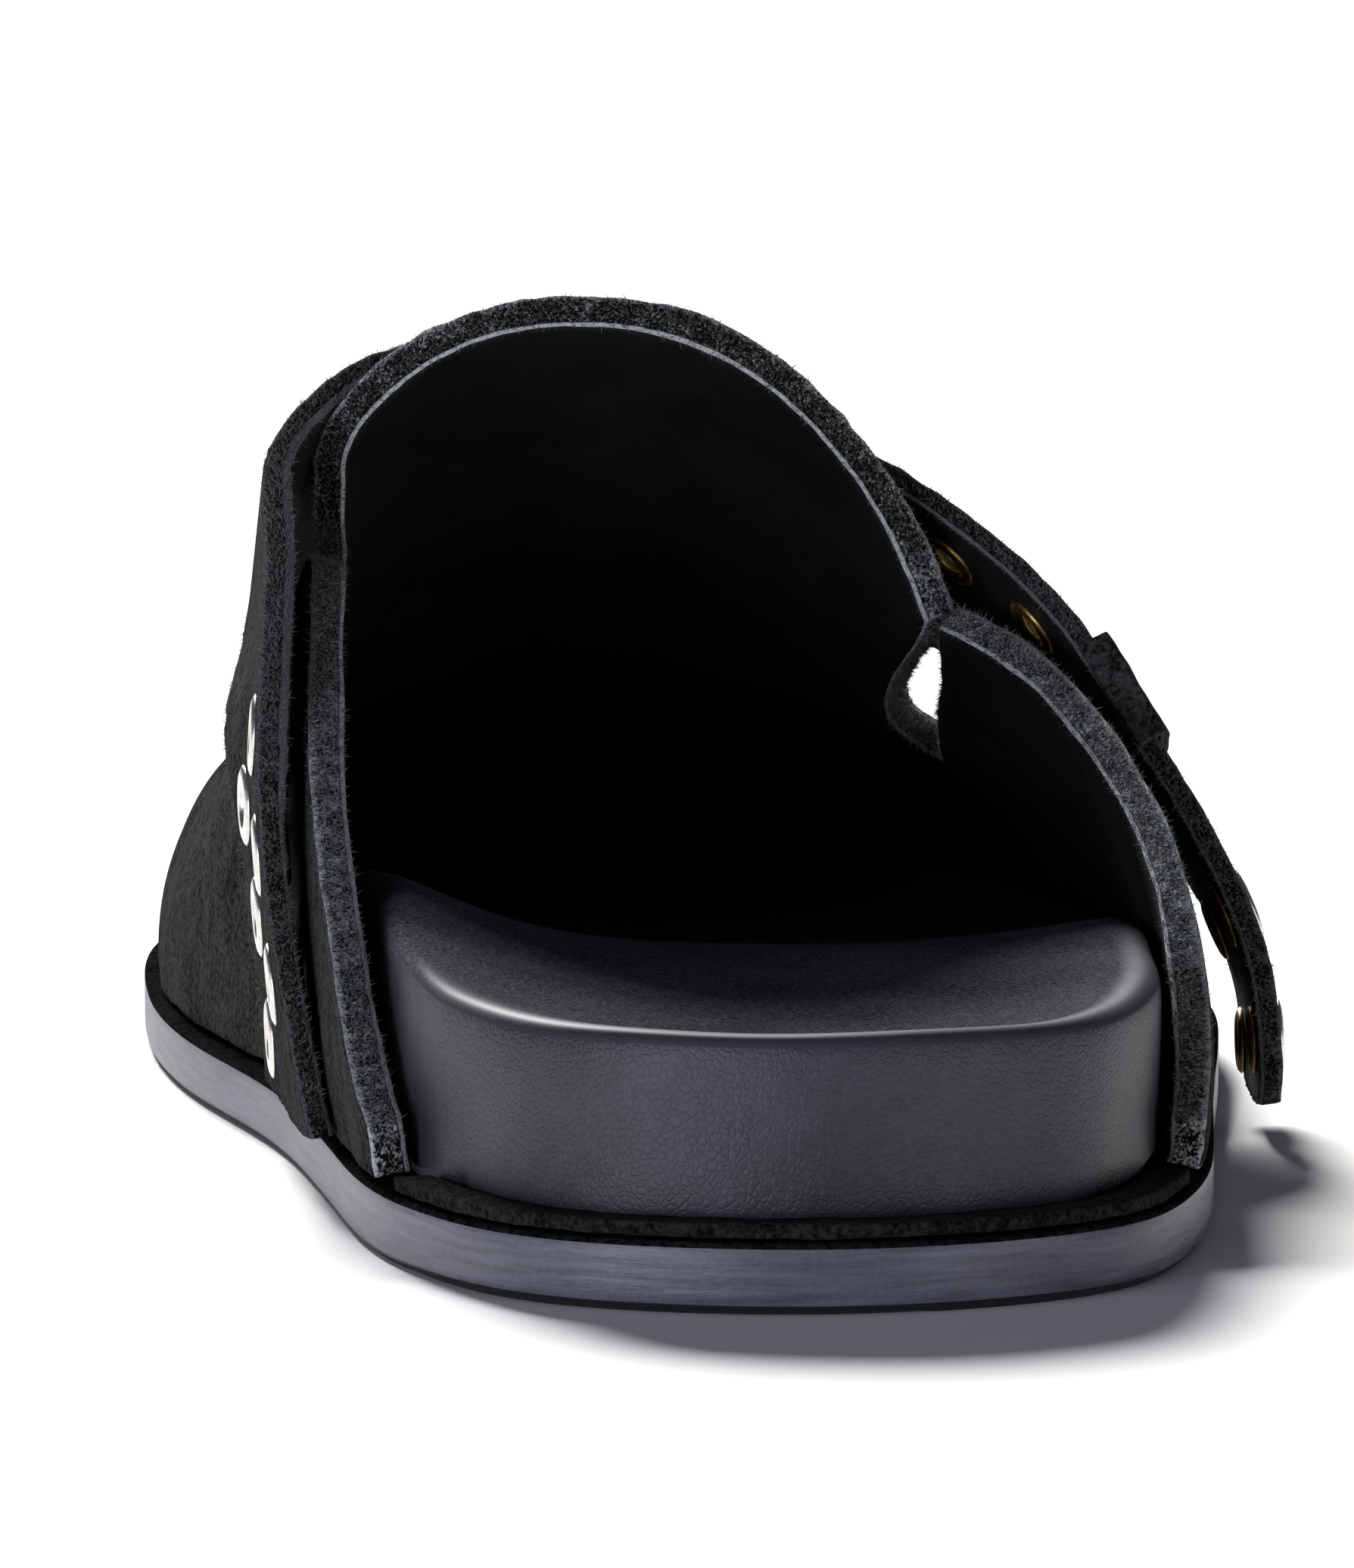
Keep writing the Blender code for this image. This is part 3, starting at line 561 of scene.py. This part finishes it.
def whole_solid(node: Object, degrees: float, weight: float) -> tuple[Solid, set[bmesh.types.BMEdge]]:
    """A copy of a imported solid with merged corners, joined quads and edges that stay firm under subdivision.

    Args:
        node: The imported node's object.
        degrees: Turn from which an edge is firm.
        weight: Crease weight of the firm edges.

    Returns:
        The copy, to be freed by the caller, and its firm edges.
    """
    solid = bmesh.new()
    solid.from_mesh(node.data)
    crease = solid.edges.layers.float.new("crease_edge")
    solid.verts.layers.float.new("depth")
    bmesh.ops.remove_doubles(solid, verts=solid.verts, dist=MERGE_DISTANCE)
    bmesh.ops.join_triangles(
        solid, faces=solid.faces, angle_face_threshold=QUAD_TURN, angle_shape_threshold=QUAD_SKEW,
    )
    for face in solid.faces:
        face.smooth = True
    solid.normal_update()
    firm = {edge for edge in solid.edges if edge.calc_face_angle(0.0) > math.radians(degrees)}
    for edge in firm:
        edge[crease] = weight
    return solid, firm


def patches(solid: Solid, borders: set[bmesh.types.BMEdge]) -> list[list[bmesh.types.BMFace]]:
    """The faces in patches that the borders divide, largest area first.

    Args:
        solid: Mesh to divide.
        borders: Edges that no patch crosses.

    Returns:
        One list of faces for each patch.
    """
    found, seen = [], set()
    for start in solid.faces:
        if start in seen:
            continue
        seen.add(start)
        patch, queue = [], [start]
        while queue:
            face = queue.pop()
            patch.append(face)
            for edge in face.edges:
                if edge in borders:
                    continue
                for other in edge.link_faces:
                    if other not in seen:
                        seen.add(other)
                        queue.append(other)
        found.append(patch)
    return sorted(found, key=lambda faces: -sum(f.calc_area() for f in faces))


def smooth_piece(solid: Solid, name: str, levels: int) -> Object:
    """A smooth piece from an edited solid, which is freed.

    Args:
        solid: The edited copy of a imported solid.
        name: Name of the new piece.
        levels: Levels of subdivision.

    Returns:
        The piece, subdivided and baked.
    """
    mesh = bpy.data.meshes.new(name)
    solid.to_mesh(mesh)
    solid.free()
    piece = link(name, mesh)
    smooth = piece.modifiers.new("smooth", "SUBSURF")
    smooth.levels = smooth.render_levels = levels
    bake(piece)
    piece.data.shade_smooth()
    return piece


def leather_wall(node: Object, name: str, levels: int) -> Object:
    """A leather piece from its solid, with its faces marked as outer face, cut rim or inner face.

    Args:
        node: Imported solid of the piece.
        name: Name of the new piece.
        levels: Levels of subdivision.

    Returns:
        The smooth piece, with a depth attribute from 0 outside to 1 inside.
    """
    solid, borders = whole_solid(node, *WALL_EDGES)
    outer, inner, *rims = patches(solid, borders)
    for faces, wall in ((outer, Wall.OUTER), (inner, Wall.INNER), *((rim, Wall.RIM) for rim in rims)):
        for face in faces:
            face.material_index = wall.value
    depth = solid.verts.layers.float["depth"]
    for face in inner:
        for vert in face.verts:
            vert[depth] = 1.0
    return smooth_piece(solid, name, levels)


def wander(piece: Object, only: Wall | None, size_mm: float, height_mm: float) -> None:
    """Moves points along their normals by smooth noise, for a hand-cut or moulded unevenness.

    Args:
        piece: Piece to change.
        only: Kind of face to change, or None for all.
        size_mm: Width of the waves.
        height_mm: Largest move.
    """
    mesh = piece.data
    chosen = {v for p in mesh.polygons if only is None or p.material_index == only.value for v in p.vertices}
    moves = []
    for i in chosen:
        vert = mesh.vertices[i]
        moves.append((vert, vert.normal * noise.noise(vert.co * per_mm(size_mm))))
    for vert, move in moves:
        vert.co += move * height_mm * MM


@dataclass(frozen=True)
class Fold:
    """A soft trough along a bent line, or a ridge where its depth is negative."""

    line: tuple[Place, ...]  # Corners of the line
    width: float  # Half width of the trough
    depth: float

    def press(self, piece: Object) -> None:
        """Presses both faces of a leather wall in together along the line.

        Args:
            piece: The leather wall, with its depth attribute.
        """
        mesh = piece.data
        places = np.array([v.co for v in mesh.vertices])
        normals = np.array([v.normal for v in mesh.vertices])
        side = 1.0 - 2.0 * np.array([d.value for d in mesh.attributes["depth"].data])
        corners = np.array(self.line) * MM
        lengths = np.linalg.norm(np.diff(corners, axis=0), axis=1)
        begun = np.concatenate([[0.0], np.cumsum(lengths)])
        nearest, share = np.full(len(places), np.inf), np.zeros(len(places))
        for start, end, length, before in zip(corners, corners[1:], lengths, begun):
            along = np.clip((places - start) @ (end - start) / length**2, 0.0, 1.0)
            away = np.linalg.norm(places - start - along[:, None] * (end - start), axis=1)
            closer = away < nearest
            nearest = np.where(closer, away, nearest)
            share = np.where(closer, (before + along * length) / begun[-1], share)
        fade = np.sqrt(np.clip(np.sin(np.pi * share), 0.0, 1.0))
        press = np.exp(-((nearest / (self.width * MM)) ** 2)) * self.depth * MM * fade
        places -= normals * (press * side)[:, None]
        mesh.vertices.foreach_set("co", places.ravel())
        mesh.update()


def node_group(name: str, sockets: dict[str, str]) -> Tree:
    """An empty geometry tree with a geometry in, a geometry out, and named inputs.

    Args:
        name: Name of the tree.
        sockets: Name and socket type of each input.

    Returns:
        The tree, with its input and output nodes.
    """
    tree = bpy.data.node_groups.new(name, "GeometryNodeTree")
    tree.interface.new_socket("Geometry", in_out="INPUT", socket_type="NodeSocketGeometry")
    tree.interface.new_socket("Geometry", in_out="OUTPUT", socket_type="NodeSocketGeometry")
    for label, kind in sockets.items():
        tree.interface.new_socket(label, in_out="INPUT", socket_type=kind)
    add(tree, "NodeGroupInput", name="in")
    add(tree, "NodeGroupOutput", name="out")
    return tree


def end_group(tree: Tree, placed: Node) -> None:
    """Ends a geometry tree: its instances turn to mesh and get the tree's finish.

    Args:
        tree: The geometry tree.
        placed: Node whose first output holds the instances.
    """
    finish = tree.nodes["in"].outputs["Finish"]
    real = add(tree, "GeometryNodeRealizeInstances", {0: placed.outputs[0]})
    dressed = add(tree, "GeometryNodeSetMaterial", {"Geometry": real.outputs[0], "Material": finish})
    tree.links.new(dressed.outputs[0], tree.nodes["out"].inputs[0])


def run_group(piece: Object, tree: Tree, values: dict[str, object]) -> Object:
    """Runs a geometry tree on a piece and bakes the result.

    Args:
        piece: Object that the tree starts from.
        tree: The geometry tree.
        values: Input name and value.

    Returns:
        The baked piece.
    """
    modifier = piece.modifiers.new(tree.name, "NODES")
    modifier.node_group = tree
    for item in tree.interface.items_tree:
        if item.item_type == "SOCKET" and item.in_out == "INPUT" and item.name in values:
            modifier[item.identifier] = values[item.name]
    return bake(piece)


@dataclass
class SubAssembly:
    """Pieces that are built and dressed together."""

    def dress(self, piece: Object, *finishes: Finish) -> None:
        """Gives a piece its finishes, one for each material slot."""
        for finish in finishes:
            piece.data.materials.append(finish.material())


@dataclass
class Sole(SubAssembly):
    """Flat leather outsole with its inked edge, and the suede rand on its heel ledge."""

    levels: int = 2  # Levels of subdivision
    level_normal: float = 0.6  # How upright a normal is on the sole's top or bottom
    # Turn in degrees from which the sole's edges are firm, and their crease weight
    sole_edges: Span = (25.0, 0.75)
    strip_edges: Span = (40.0, 0.7)  # The same for the rand
    strip_waves: Span = (1.6, 0.12)  # Width and height of the rand's unevenness

    def build(self, nodes: Packed) -> list[Object]:
        """Makes the outsole and the rand.

        Args:
            nodes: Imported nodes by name.

        Returns:
            The two pieces.
        """
        solid, _ = whole_solid(nodes["outsole"], *self.sole_edges)
        for face in solid.faces:
            level = SoleFace.TOP if face.normal.z > self.level_normal else SoleFace.EDGE
            face.material_index = (SoleFace.BOTTOM if face.normal.z < -self.level_normal else level).value
        sole = smooth_piece(solid, "sole", self.levels)
        self.dress(sole, SOLE_EDGE, SOLE_BOTTOM, SOLE_WELT)
        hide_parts("outsole")
        solid, _ = whole_solid(nodes["heel_rand"], *self.strip_edges)
        strip = smooth_piece(solid, "heel_strip", self.levels)
        wander(strip, None, *self.strip_waves)
        self.dress(strip, RAND)
        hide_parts("heel_rand")
        return [sole, strip]


@dataclass
class Footbed(SubAssembly):
    """Moulded block wrapped in leather round its side and rim, with a nubuck top."""

    levels: int = 3  # Levels of subdivision
    edges: Span = (70.0, 0.8)  # Turn in degrees from which its edges are firm, and their crease weight
    waves: Span = (14.0, 0.18)  # Width and height of its unevenness
    wall_turn: float = 0.3  # Steepest upward part of a normal that still counts as the side
    rim: Span = (1.6, 3.6)  # Distances from the side over which the waxed rim turns to nubuck
    wrap_z: float = 21.2  # Height that the side's leather reaches at the arch
    rim_z: Span = (19.6, 22.8)  # Heights over which the rim's wax is worn off at the arch

    def polish(self, mesh: bpy.types.Mesh) -> None:
        """Writes how much of the rim's wax each point has, as an attribute.

        Args:
            mesh: The footbed's mesh.
        """
        side = [face.center for face in mesh.polygons if face.normal.z < self.wall_turn]
        tree = KDTree(len(side))
        for i, centre in enumerate(side):
            tree.insert(centre, i)
        tree.balance()
        away = np.array([tree.find(v.co)[2] for v in mesh.vertices]) / MM
        height = np.array([v.co.z for v in mesh.vertices]) / MM
        wax = (1.0 - ease(away, *self.rim)) * (1.0 - ease(height, *self.rim_z))
        mesh.attributes.new("polish", "FLOAT", "POINT").data.foreach_set("value", wax)

    def build(self, nodes: Packed) -> list[Object]:
        """Makes the footbed.

        Args:
            nodes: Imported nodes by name.

        Returns:
            The one piece.
        """
        solid, _ = whole_solid(nodes["footbed"], *self.edges)
        bed = smooth_piece(solid, "moulded_footbed", self.levels)
        self.dress(bed, FOOTBED_WRAP, FOOTBED_TOP)
        for face in bed.data.polygons:
            top = face.normal.z > self.wall_turn or face.center.z > self.wrap_z * MM
            face.material_index = (BedFace.TOP if top else BedFace.SIDE).value
        self.polish(bed.data)
        wander(bed, None, *self.waves)
        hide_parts("footbed")
        return [bed]


@dataclass
class Upper(SubAssembly):
    """Suede shell with its lining, soft folds and uneven cut edges."""

    levels: int = 2  # Levels of subdivision
    cut_waves: Span = (1.4, 0.22)  # Width and height of the unevenness of its cuts
    face_waves: Span = (11.0, 0.25)  # The same for the whole shell
    # Troughs and ridges of the worn leather
    folds: tuple[Fold, ...] = (
        Fold(((-36.0, 43.0, 34.0), (-18.0, 49.0, 38.8), (2.0, 49.0, 38.8), (18.0, 44.0, 34.5)), 4.0, 0.8),
        Fold(((-35.0, 51.0, 32.3), (-18.0, 56.5, 37.6), (2.0, 57.0, 37.8), (18.0, 51.0, 33.6)), 3.6, -0.45),
        Fold(((-36.0, 58.0, 30.8), (-20.0, 63.5, 36.8), (0.0, 64.0, 37.5), (18.0, 58.0, 33.2)), 3.6, 0.55),
        Fold(((-45.0, 28.0, 22.0), (-41.0, 37.0, 30.0), (-33.0, 46.0, 35.0)), 3.6, 0.6),
        Fold(((40.5, 28.0, 18.0), (37.0, 36.0, 23.0), (28.0, 43.0, 29.0)), 3.6, 0.5),
        Fold(((-38.3, -40.0, 31.0), (-38.8, -24.0, 24.0), (-41.0, -6.0, 17.0)), 5.0, 0.5),
        Fold(((36.0, -48.0, 20.0), (36.6, -32.0, 24.0), (38.4, -14.0, 21.0)), 5.0, 0.5),
        Fold(((-27.0, 12.0, 58.0), (-9.0, 17.0, 58.4), (6.0, 13.0, 56.0)), 4.5, 0.5),
    )

    def build(self, nodes: Packed) -> list[Object]:
        """Makes the upper.

        Args:
            nodes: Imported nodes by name.

        Returns:
            The one piece.
        """
        shell = leather_wall(nodes["upper"], "suede_upper", self.levels)
        for fold in self.folds:
            fold.press(shell)
        wander(shell, Wall.RIM, *self.cut_waves)
        wander(shell, None, *self.face_waves)
        self.dress(shell, SUEDE, SUEDE_CUT, LINING)
        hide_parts("upper")
        return [shell]


@dataclass
class Eyelets(SubAssembly):
    """Spooled eyelets through the strap: a rolled flange, a barrel, and a rolled ring behind."""

    bore: float = 1.55  # Radius of the hole
    flange: float = 3.5  # Radius of the flange
    ring: float = 2.95  # Radius of the ring on the back
    back: float = 2.25  # Depth of the strap's back below the flange
    turns: int = 24  # Segments round an eyelet
    rim_share: float = 0.97  # Share of a washer's radius from which its corners are its rim
    clearance: float = 0.28  # Gap between the barrel and the hole in the strap

    def places(self, nodes: Packed) -> tuple[np.ndarray, np.ndarray]:
        """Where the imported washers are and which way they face.

        Args:
            nodes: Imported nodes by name.

        Returns:
            Middles of their seats, and their outward directions.
        """
        middles, facing = [], []
        for name in sorted(n for n in nodes if n.startswith("eyelet")):
            corners = np.array([v.co for v in nodes[name].data.vertices])
            centre = (corners.min(axis=0) + corners.max(axis=0)) / 2
            axis = np.linalg.svd(corners - corners.mean(axis=0))[2][2]
            height = (corners - centre) @ axis
            radius = np.linalg.norm(corners - centre - height[:, None] * axis, axis=1)
            widest = radius > radius.max() * self.rim_share
            middles.append(corners[widest].mean(axis=0))
            facing.append(-axis * np.sign(height[widest].mean()))
        return np.array(middles), np.array(facing)

    def turned(self, name: str, section: tuple[Span, ...]) -> Object:
        """A turned ring from a closed section.

        Args:
            name: Name of the object.
            section: Radius and height of its corners, in millimetres.

        Returns:
            The ring at the origin, facing up.
        """
        ring = bmesh.new()
        corners = [ring.verts.new((r * MM, 0.0, z * MM)) for r, z in section]
        edges = [ring.edges.new((a, b)) for a, b in zip(corners, corners[1:] + corners[:1])]
        bmesh.ops.spin(
            ring, geom=corners + edges, axis=(0, 0, 1), cent=(0, 0, 0), angle=math.tau, steps=self.turns,
            use_merge=True,
        )
        bmesh.ops.remove_doubles(ring, verts=ring.verts, dist=MERGE_DISTANCE)
        bmesh.ops.recalc_face_normals(ring, faces=ring.faces)
        for face in ring.faces:
            face.smooth = True
        mesh = bpy.data.meshes.new(name)
        ring.to_mesh(mesh)
        ring.free()
        return link(name, mesh)

    def tree(self) -> Tree:
        """A geometry tree that sets a ring on every point, facing along the point's own direction.

        Returns:
            The tree.
        """
        tree = node_group("set_rings", {"Ring": "NodeSocketObject", "Finish": "NodeSocketMaterial"})
        start = tree.nodes["in"]
        ring = add(tree, "GeometryNodeObjectInfo", {"Object": start.outputs["Ring"]})
        facing = add(tree, "GeometryNodeInputNamedAttribute", {"Name": "facing"}, data_type="FLOAT_VECTOR")
        turn = add(tree, "FunctionNodeAlignRotationToVector", {"Vector": facing.outputs[0]}, axis="Z")
        points = add(tree, "GeometryNodeMeshToPoints", {"Mesh": start.outputs["Geometry"]})
        placed = add(tree, "GeometryNodeInstanceOnPoints", {
            "Points": points.outputs[0], "Instance": ring.outputs["Geometry"], "Rotation": turn.outputs[0],
        })
        end_group(tree, placed)
        return tree

    def build(self, nodes: Packed) -> list[Object]:
        """Makes the flanges with their barrels, and the back rings.

        Args:
            nodes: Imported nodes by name.

        Returns:
            Two pieces: what shows outside, and the backs.
        """
        middles, facing = self.places(nodes)
        # Radius and height of each corner of the two closed sections.
        bore, flange, ring, back = self.bore, self.flange, self.ring, self.back
        front = (
            (bore, -back), (bore, -0.2), (bore + 0.15, 0.02), (bore + 0.45, 0.14), (bore + 0.9, 0.16),
            (flange - 0.6, 0.1), (flange - 0.2, -0.06), (flange, -0.22), (flange - 0.15, -0.32),
            (bore + 0.25, -0.35), (bore + 0.25, -back),
        )
        low = -back - 0.03
        rear = (
            (bore - 0.1, low), (ring - 0.2, low), (ring, low - 0.2), (ring - 0.3, low - 0.5),
            (bore + 0.7, low - 0.62), (bore + 0.2, low - 0.5), (bore - 0.1, low - 0.25),
        )
        tree = self.tree()
        pieces = []
        for name, section, finish in (("eyelet_flanges", front, NICKEL), ("eyelet_backs", rear, BRASS_BACK)):
            ring = self.turned(name + "_ring", section)
            self.dress(ring, finish)
            mesh = bpy.data.meshes.new(name)
            mesh.from_pydata(middles.tolist(), [], [])
            mesh.attributes.new("facing", "FLOAT_VECTOR", "POINT").data.foreach_set("vector", facing.ravel())
            piece = run_group(link(name, mesh), tree, {"Ring": ring, "Finish": finish.material()})
            bpy.data.objects.remove(ring)
            pieces.append(piece)
        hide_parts(*(n for n in nodes if n.startswith("eyelet")))
        return pieces

    def drill(self, strap: Object, nodes: Packed) -> None:
        """Cuts the eyelet holes through the strap.

        Args:
            strap: The strap.
            nodes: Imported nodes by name.
        """
        cutter = bmesh.new()
        radius = (self.bore + self.clearance) * MM
        for middle, outward in zip(*self.places(nodes)):
            turn = Vector(outward).to_track_quat("Z", "Y").to_matrix().to_4x4()
            bmesh.ops.create_cone(
                cutter, cap_ends=True, segments=16, radius1=radius, radius2=radius,
                depth=9 * MM, matrix=Matrix.Translation(Vector(middle)) @ turn,
            )
        mesh = bpy.data.meshes.new("punch")
        cutter.to_mesh(mesh)
        cutter.free()
        punch = link("punch", mesh)
        self.dress(punch, STRAP_CUT)
        cut = strap.modifiers.new("holes", "BOOLEAN")
        cut.operation, cut.solver, cut.object = "DIFFERENCE", "EXACT", punch
        bake(strap)
        bpy.data.objects.remove(punch)


@dataclass
class Strap(SubAssembly):
    """Lined suede strap with punched eyelet holes, and the suede keeper that it runs through."""

    eyelets: Eyelets
    levels: int = 2  # Levels of subdivision of the strap
    keeper_levels: int = 3  # The same for the keeper
    cut_waves: Span = (1.4, 0.2)  # Width and height of the unevenness of the strap's cuts
    padding: float = 0.8  # Extra thickness of the lining on the inner shoulder
    padded_z: Span = (26.0, 36.0)  # Heights between which the padding grows
    # Turn in degrees from which the keeper's edges are firm, and their crease weight
    keeper_edges: Span = (35.0, 0.6)
    keeper_waves: Span = (2.0, 0.12)  # Width and height of the keeper's unevenness

    def pad(self, band: Object) -> None:
        """Thickens the lining where the strap rises over the inner shoulder.

        Args:
            band: The strap.
        """
        depth = band.data.attributes["depth"].data
        moves = []
        for vert in band.data.vertices:
            share = ease(vert.co.z / MM, *self.padded_z) if vert.co.x < 0 else 0.0
            moves.append(vert.normal * (share * depth[vert.index].value * self.padding * MM))
        for vert, move in zip(band.data.vertices, moves):
            vert.co += move

    def build(self, nodes: Packed) -> list[Object]:
        """Makes the strap and the keeper.

        Args:
            nodes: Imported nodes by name.

        Returns:
            The two pieces.
        """
        band = leather_wall(nodes["strap"], "suede_strap", self.levels)
        self.dress(band, SUEDE, STRAP_CUT, LINING)
        wander(band, Wall.RIM, *self.cut_waves)
        self.eyelets.drill(band, nodes)
        self.pad(band)
        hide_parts("strap")
        solid, _ = whole_solid(nodes["keeper"], *self.keeper_edges)
        loop = smooth_piece(solid, "suede_keeper", self.keeper_levels)
        self.dress(loop, SUEDE)
        wander(loop, None, *self.keeper_waves)
        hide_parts("keeper")
        return [band, loop]


@dataclass
class Fluff:
    """Loose fibres that stand out of the cut suede."""

    density: float = 1.8e7  # Fibres per square metre of cut
    lowest: float = 9.0  # Height below which the cut is glued down
    length: float = 0.6  # Length of a fibre
    radius: float = 0.035  # Half its thickness, drawn thick enough to show
    lean: Place = (0.9, 0.9, 3.0)  # Largest turn of a fibre about its three axes, in radians
    sizes: Span = (0.35, 1.3)  # Smallest and largest size of a fibre, as shares of its length
    seed: int = 7  # Seed of their places

    def tree(self) -> Tree:
        """A geometry tree that stands thin cones on the rim faces, each leaning its own way.

        Returns:
            The tree.
        """
        tree = node_group("stand_fibres", {
            "Density": "NodeSocketFloat", "Lowest": "NodeSocketFloat", "Length": "NodeSocketFloat",
            "Radius": "NodeSocketFloat", "Seed": "NodeSocketInt", "Finish": "NodeSocketMaterial",
        })
        given = tree.nodes["in"].outputs
        index = add(tree, "GeometryNodeInputMaterialIndex")
        on_rim = add(tree, "FunctionNodeCompare", {
            2: index.outputs[0], 3: Wall.RIM.value,
        }, data_type="INT", operation="EQUAL")
        height = add(tree, "ShaderNodeSeparateXYZ", {0: add(tree, "GeometryNodeInputPosition").outputs[0]})
        free = add(tree, "FunctionNodeCompare", {
            0: height.outputs["Z"], 1: given["Lowest"],
        }, operation="GREATER_THAN")
        grown = add(tree, "FunctionNodeBooleanMath", {
            0: on_rim.outputs[0], 1: free.outputs[0],
        }, operation="AND")
        points = add(tree, "GeometryNodeDistributePointsOnFaces", {
            "Mesh": given["Geometry"], "Selection": grown.outputs[0],
            "Density": given["Density"], "Seed": given["Seed"],
        })
        fibre = add(tree, "GeometryNodeMeshCone", {
            "Vertices": 3, "Radius Top": 0.0, "Radius Bottom": given["Radius"], "Depth": given["Length"],
        })
        lean = add(tree, "FunctionNodeRandomValue", {
            0: tuple(-angle for angle in self.lean), 1: self.lean, "Seed": given["Seed"],
        }, data_type="FLOAT_VECTOR")
        tilt = add(tree, "FunctionNodeEulerToRotation", {0: lean.outputs[0]})
        turn = add(tree, "FunctionNodeRotateRotation", {
            0: points.outputs["Rotation"], 1: tilt.outputs[0],
        }, rotation_space="LOCAL")
        smallest, largest = self.sizes
        size = add(tree, "FunctionNodeRandomValue", {
            2: smallest, 3: largest, "Seed": given["Seed"],
        }, data_type="FLOAT")
        placed = add(tree, "GeometryNodeInstanceOnPoints", {
            "Points": points.outputs["Points"], "Instance": fibre.outputs["Mesh"],
            "Rotation": turn.outputs[0], "Scale": size.outputs[1],
        })
        end_group(tree, placed)
        return tree

    def build(self, piece: Object, name: str, slot: str) -> Object:
        """Grows fibres on a piece's cut rim.

        Args:
            piece: Leather piece.
            name: Name of the fibres' object.
            slot: Not used.

        Returns:
            The fibres.
        """
        values = {
            "Density": self.density, "Lowest": self.lowest * MM, "Length": self.length * MM,
            "Radius": self.radius * MM, "Seed": self.seed, "Finish": FLUFF.material(),
        }
        fibres = run_group(link(name, piece.data.copy()), self.tree(), values)
        return fibres


def towards(direction: Vector) -> Euler:
    """The turn that points a lamp or a camera along a direction."""
    return direction.to_track_quat("-Z", "Y").to_euler()


@dataclass(frozen=True)
class Fill:
    """A low, wide soft light that faces the shoe and hardly reaches the floor."""

    name: str
    place: Place  # Where it stands, in metres
    width: float  # Its width, in metres
    power: float  # Power in watts
    height: float = 0.22  # Its height, in metres
    aim: Place = (0.0, 0.0, 0.03)  # Point that it faces, in metres
    colour: str = "#eceeff"

    def build(self) -> None:
        """Makes the light."""
        lamp = bpy.data.lights.new(self.name, "AREA")
        lamp.shape = "RECTANGLE"
        lamp.size, lamp.size_y = self.width, self.height
        lamp.energy = self.power
        lamp.color = linear(self.colour)[:3]
        made = link(self.name, lamp)
        made.location = self.place
        made.rotation_euler = towards(Vector(self.aim) - Vector(self.place))


@dataclass
class Studio:
    """Pale floor, a soft back light, two soft fills, a faint sky and the camera."""

    camera_at: Place = (-69.0, -783.7, 98.6)
    aim_at: Place = (-4.9, -14.8, 30.4)  # Point that it looks at
    focal_px: float = 11800.0  # Focal length in pixels of the whole picture
    reach: float = 400.0  # Half the side of the floor, in metres, to the horizon
    back_from: Place = (-0.12, 0.88, 0.52)  # Direction that the back light comes from
    back_strength: float = 7.2
    back_spread: float = 18.0  # Angle that it fills, in degrees
    fills: tuple[Fill, ...] = (
        Fill("left_fill", (-0.8, -0.9, 0.13), 0.9, 6.4),
        Fill("right_fill", (0.75, -0.9, 0.13), 0.6, 1.8),
    )
    sky: str = "#e9ebff"
    sky_strength: float = 0.06

    def build(self) -> None:
        """Makes the floor, the lights, the sky and the camera."""
        self.floor()
        self.back_light()
        for fill in self.fills:
            fill.build()
        world = bpy.data.worlds.new("studio")
        world.use_nodes = True
        sky = world.node_tree.nodes["Background"]
        sky.inputs["Color"].default_value = linear(self.sky)
        sky.inputs["Strength"].default_value = self.sky_strength
        bpy.context.scene.world = world
        bpy.context.scene.view_settings.view_transform = "Standard"
        self.camera()

    def floor(self) -> None:
        """A wide pale floor."""
        mesh = bpy.data.meshes.new("floor")
        far = self.reach
        corners = [(-far, -far, 0), (far, -far, 0), (far, far, 0), (-far, far, 0)]
        mesh.from_pydata(corners, [], [(0, 1, 2, 3)])
        mesh.materials.append(PAPER.material())
        link("floor", mesh)

    def back_light(self) -> None:
        """A wide even light from behind and above, which throws the shadow towards the camera."""
        lamp = bpy.data.lights.new("back_light", "SUN")
        lamp.energy, lamp.angle = self.back_strength, math.radians(self.back_spread)
        link("back_light", lamp).rotation_euler = towards(-Vector(self.back_from))

    def camera(self) -> None:
        """The camera at the photograph's angle."""
        lens = bpy.data.cameras.new("camera")
        lens.sensor_fit = "HORIZONTAL"
        lens.sensor_width = 36.0
        lens.lens = lens.sensor_width * self.focal_px / IMAGE_WIDTH
        lens.clip_start, lens.clip_end = 0.05, 2 * self.reach
        made = link("camera", lens)
        made.location = Vector(self.camera_at) * MM
        made.rotation_euler = towards((Vector(self.aim_at) - Vector(self.camera_at)) * MM)
        bpy.context.scene.camera = made


def main() -> None:
    """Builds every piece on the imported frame."""
    logging.basicConfig(level=logging.INFO, format="%(message)s")
    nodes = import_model()["nodes"]
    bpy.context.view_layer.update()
    Studio().build()
    eyelets = Eyelets()
    pieces = Sole().build(nodes) + Footbed().build(nodes)
    upper = Upper().build(nodes)[0]
    strap, keeper = Strap(eyelets).build(nodes)
    pieces += [upper, strap, keeper, *eyelets.build(nodes)]
    fluff = Fluff()
    pieces.append(fluff.build(upper, "upper_fluff", "upper_suede"))
    pieces.append(fluff.build(strap, "strap_fluff", "strap_suede"))
    for piece in pieces:
        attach(piece, "root")
        LOG.info("%s: %d faces", piece.name, len(piece.data.polygons))


if __name__ == "__main__":
    main()
